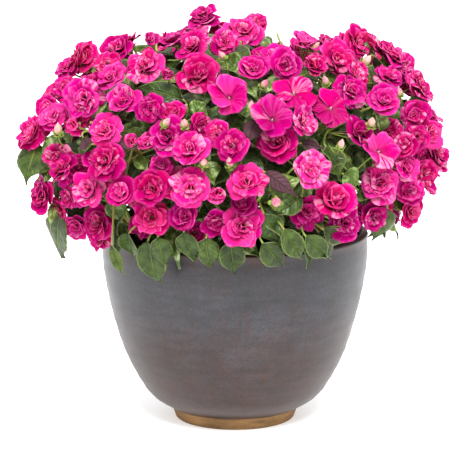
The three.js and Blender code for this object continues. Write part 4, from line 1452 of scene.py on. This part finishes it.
class LIZZIE_OT_foliage(bpy.types.Operator):
    """Makes the whorls of leaves around the tips of the shoots, one piece for each stem"""

    bl_idname = "lizzie.make_foliage"
    bl_label = "Leafy shoots"

    def execute(self, context):
        plant, leaves = context.scene.lizzie_plant, context.scene.lizzie_leaves
        stems, blooms, vary = plan_stems(plant), plan_blooms(plant), SHOOT_VARIES
        piles = [leaf_pile() for _ in stems]
        for number, (tip, pointing, tier) in enumerate(shoot_tips(plant)):
            draw = np.random.default_rng([41, number])
            axes = axes_for(pointing)
            pile = piles[nearest_stem(plant, stems, tip)]
            for k in range(LEAVES_PER_SHOOT):
                turn = GOLDEN_TURN * k + number
                open_by = math.radians(draw.uniform(*vary.open))
                towards = axes @ turned(math.sin(open_by), 0, math.cos(open_by), turn)
                size = leaves.long * draw.uniform(*vary.size) * (0.75 + 0.25 * k / LEAVES_PER_SHOOT)
                width = size * draw.uniform(*vary.width)
                # It sits further back on the shoot if it would hide a bloom or meet the wall.
                for drop in LEAF_DROPS:
                    start = tip + pointing * (LEAF_STEP - LEAF_STEP * k - drop) + towards * 0.008
                    end = start + towards * size - UP * 0.15 * size
                    if covers_bloom(start, end, blooms) or in_hollow(end) or meets_wall(start, end):
                        continue
                    rows = 8 if tier == 0 else 6
                    add_leaf(pile, start, end, width, pointing + 0.3 * UP, draw, leaves.thickness, rows, 5,
                             young=0.6 * (k == 0))
                    break
        for k, pile in enumerate(piles, start=1):
            pile.shape(numbered("shoot_leaves", k), [cached(leaf_skin, leaves)], "leaf")
        return {"FINISHED"}


# ---------------------------------------------------------------- blooms and buds
def make_blooms(context, kind, node="", nodes=0):
    """Makes one kind of bloom; the first ones stand for the CAD nodes of that kind."""
    blooms = context.scene.lizzie_blooms
    materials = [cached(petal_velvet, blooms), cached(sepal_green, blooms)]
    for k, bloom in enumerate(getattr(plan_blooms(context.scene.lizzie_plant), kind), start=1):
        replaces = (numbered(node, k),) if k <= nodes else ()
        pile, axes = make_bloom(kind, k, bloom, blooms.thickness, bool(replaces))
        pile.shape(numbered(kind, k), materials, "petal", bloom.place, axes, replaces)


class LIZZIE_OT_double_blooms(bpy.types.Operator):
    """Makes the double blooms: rosettes of up to five rings of petals"""

    bl_idname = "lizzie.make_double_blooms"
    bl_label = "Double blooms"

    def execute(self, context):
        nodes = len(FRONT_DOUBLES) + sum(len(turns) for _, turns, _ in BACK_DOUBLES)
        make_blooms(context, "double_bloom", "double_flower", nodes)
        return {"FINISHED"}


class LIZZIE_OT_single_blooms(bpy.types.Operator):
    """Makes the single blooms: five flat petals"""

    bl_idname = "lizzie.make_single_blooms"
    bl_label = "Single blooms"

    def execute(self, context):
        make_blooms(context, "single_bloom", "single_flower", len(FRONT_SINGLES))
        return {"FINISHED"}


class LIZZIE_OT_half_open_blooms(bpy.types.Operator):
    """Makes the half-open blooms, whose petals still stand up"""

    bl_idname = "lizzie.make_half_open_blooms"
    bl_label = "Half-open blooms"

    def execute(self, context):
        make_blooms(context, "half_open_bloom")
        return {"FINISHED"}


# A bud in its widths: its radius, length and foot, how many petals lap around it, how far their
# spiral runs in radians, and how much each stands out at its edge.
BUD = SimpleNamespace(radius=0.38, long=1.35, foot=-0.62, laps=2.5, spiral=2.2, lap=0.12)
BUD_SIDES = 16
# Whorls of sepals around a bud: how many, how far up they reach and how far they stand out.
BUD_SEPALS = ((3, 0.55, 0.44), (4, 0.12, 0.55))
BUD_SEPAL_THICKNESS = 0.0003


class LIZZIE_OT_buds(bpy.types.Operator):
    """Makes the closed buds with their sepals"""

    bl_idname = "lizzie.make_buds"
    bl_label = "Buds"

    def execute(self, context):
        blooms = context.scene.lizzie_blooms
        materials = [cached(bud_skin, blooms), cached(sepal_green, blooms)]
        u, v = span_of(6, 3)
        for k, bud in enumerate(plan_buds(context.scene.lizzie_plant), start=1):
            draw = np.random.default_rng([61, k])
            pile = Pile("along", "across", "tone", "under")
            # A pointed egg of petals that lap over each other in a spiral.
            part = np.linspace(0.02, 0.99, 10)
            wide = BUD.radius * np.sin(math.pi * part ** 0.8) ** 0.75
            wide = wide * (1 - 0.35 * smoothstep(0.6, 1.0, part))
            grid = turn_outline(np.stack((wide, BUD.long * part + BUD.foot), axis=1), BUD_SIDES)
            around = TURN * np.arange(BUD_SIDES)[None, :] / BUD_SIDES
            fold = (BUD.laps * (around + BUD.spiral * part[:, None]) / TURN) % 1.0
            grid[..., :2] *= (1 + BUD.lap * fold)[..., None]
            along, tone = np.repeat(part, BUD_SIDES), draw.uniform(0.1, 1.0)
            pile.add_turned(grid * bud.width, along=along, across=fold.ravel(), tone=tone)
            for count, reach, spread in BUD_SEPALS:
                for turn in TURN * np.arange(count) / count + draw.uniform(0, TURN):
                    y = u * 0.22 * np.sin(math.pi * (0.25 + 0.74 * v)) ** 0.8
                    x = 0.10 + spread * np.sin(1.5 * v) - 0.35 * y * y
                    sepal = turned(x, y, -0.66 + reach * v * v + 0.1 * v, turn) * bud.width
                    add_sheet(pile, sepal, BUD_SEPAL_THICKNESS, {"along": v, "across": u}, finish=1)
            replaces = ("bud_01",) if k == 1 else ()
            axes = axes_for(bud.facing, draw.uniform(0, TURN))
            pile.shape(numbered("flower_bud", k), materials, "bud", bud.place, axes, replaces)
        return {"FINISHED"}


# ---------------------------------------------------------------- stage
KEY_FROM = (0.1, -0.8, 1.0)  # the way to the key light
KEY_SPREAD = math.radians(24)  # how wide it looks, which softens its shadows


class LIZZIE_OT_stage(bpy.types.Operator):
    """Makes the white floor, the soft lights and the camera"""

    bl_idname = "lizzie.make_stage"
    bl_label = "Stage"

    def execute(self, context):
        scene, stage = context.scene, context.scene.lizzie_stage
        spread = np.linspace(-stage.floor / 2, stage.floor / 2, 9)
        x, y = np.meshgrid(spread, spread)
        mesh = bpy.data.meshes.new("studio_floor")
        points = np.stack((x, y, 0 * x), axis=-1).reshape(-1, 3)
        mesh.from_pydata(points.tolist(), [], grid_faces(9, 9).tolist())
        mesh.materials.append(cached(opal_acrylic))
        floor = add_object("studio_floor", mesh)

        # White surroundings, brighter above and in front of the plant than behind it.
        world = bpy.data.worlds.new("white_surroundings")
        world.use_nodes = True
        tree = world.node_tree
        add = partial(add_node, tree)
        towards = add("SeparateXYZ", add("TexCoord").outputs["Generated"]).outputs
        level = add("MapRange", towards["Y"], -1.0, 1.0, stage.sky_front, stage.sky_back)
        above = add("MapRange", towards["Z"], 0.2, 0.8, 0.0, stage.sky_above)
        level = add("Math", level, above, operation="ADD")
        background = tree.nodes["Background"].inputs
        background["Color"].default_value = (1.0, 1.0, 1.0, 1.0)
        tree.links.new(level.outputs[0], background["Strength"])
        scene.world = world

        light = bpy.data.lights.new("key_light", "SUN")
        light.angle = KEY_SPREAD
        light.energy = stage.key
        lamp = add_object("key_light", light)
        lamp.rotation_euler = Vector(KEY_FROM).to_track_quat("Z", "Y").to_euler()

        lens = bpy.data.cameras.new("camera")
        lens.lens, lens.sensor_width = stage.lens, 36.0
        lens.clip_start, lens.clip_end = 0.05, 100.0
        camera = add_object("camera", lens)
        camera.location = stage.camera
        camera.rotation_euler = (math.pi / 2 - stage.pitch, 0.0, 0.0)
        scene.camera = camera
        scene.view_settings.view_transform = "Standard"
        scene.view_settings.look = "Medium High Contrast"
        return {"FINISHED"}


# ---------------------------------------------------------------- add-on
STEPS = (
    LIZZIE_OT_pot,
    LIZZIE_OT_soil,
    LIZZIE_OT_stems,
    LIZZIE_OT_leaves,
    LIZZIE_OT_foliage,
    LIZZIE_OT_double_blooms,
    LIZZIE_OT_single_blooms,
    LIZZIE_OT_half_open_blooms,
    LIZZIE_OT_buds,
    LIZZIE_OT_stage,
)


class LIZZIE_PT_panel(bpy.types.Panel):
    """Lists the steps that make the potted plant"""

    bl_label = "Potted busy lizzie"
    bl_space_type = "VIEW_3D"
    bl_region_type = "UI"
    bl_category = "Busy lizzie"

    def draw(self, context):
        for step in STEPS:
            self.layout.operator(step.bl_idname)
        for name in GROUPS:
            settings = getattr(context.scene, f"lizzie_{name}")
            box = self.layout.box()
            box.label(text=name.capitalize())
            for key in settings.__annotations__:
                box.prop(settings, key)


def register():
    for part in (*GROUPS.values(), *STEPS, LIZZIE_PT_panel):
        bpy.utils.register_class(part)
    for name, group in GROUPS.items():
        setattr(bpy.types.Scene, f"lizzie_{name}", PointerProperty(type=group))


def unregister():
    for name in GROUPS:
        delattr(bpy.types.Scene, f"lizzie_{name}")
    for part in reversed((*GROUPS.values(), *STEPS, LIZZIE_PT_panel)):
        bpy.utils.unregister_class(part)


def main():
    register()
    for step in STEPS:
        group, name = step.bl_idname.split(".")
        getattr(getattr(bpy.ops, group), name)()


if __name__ == "__main__":
    main()
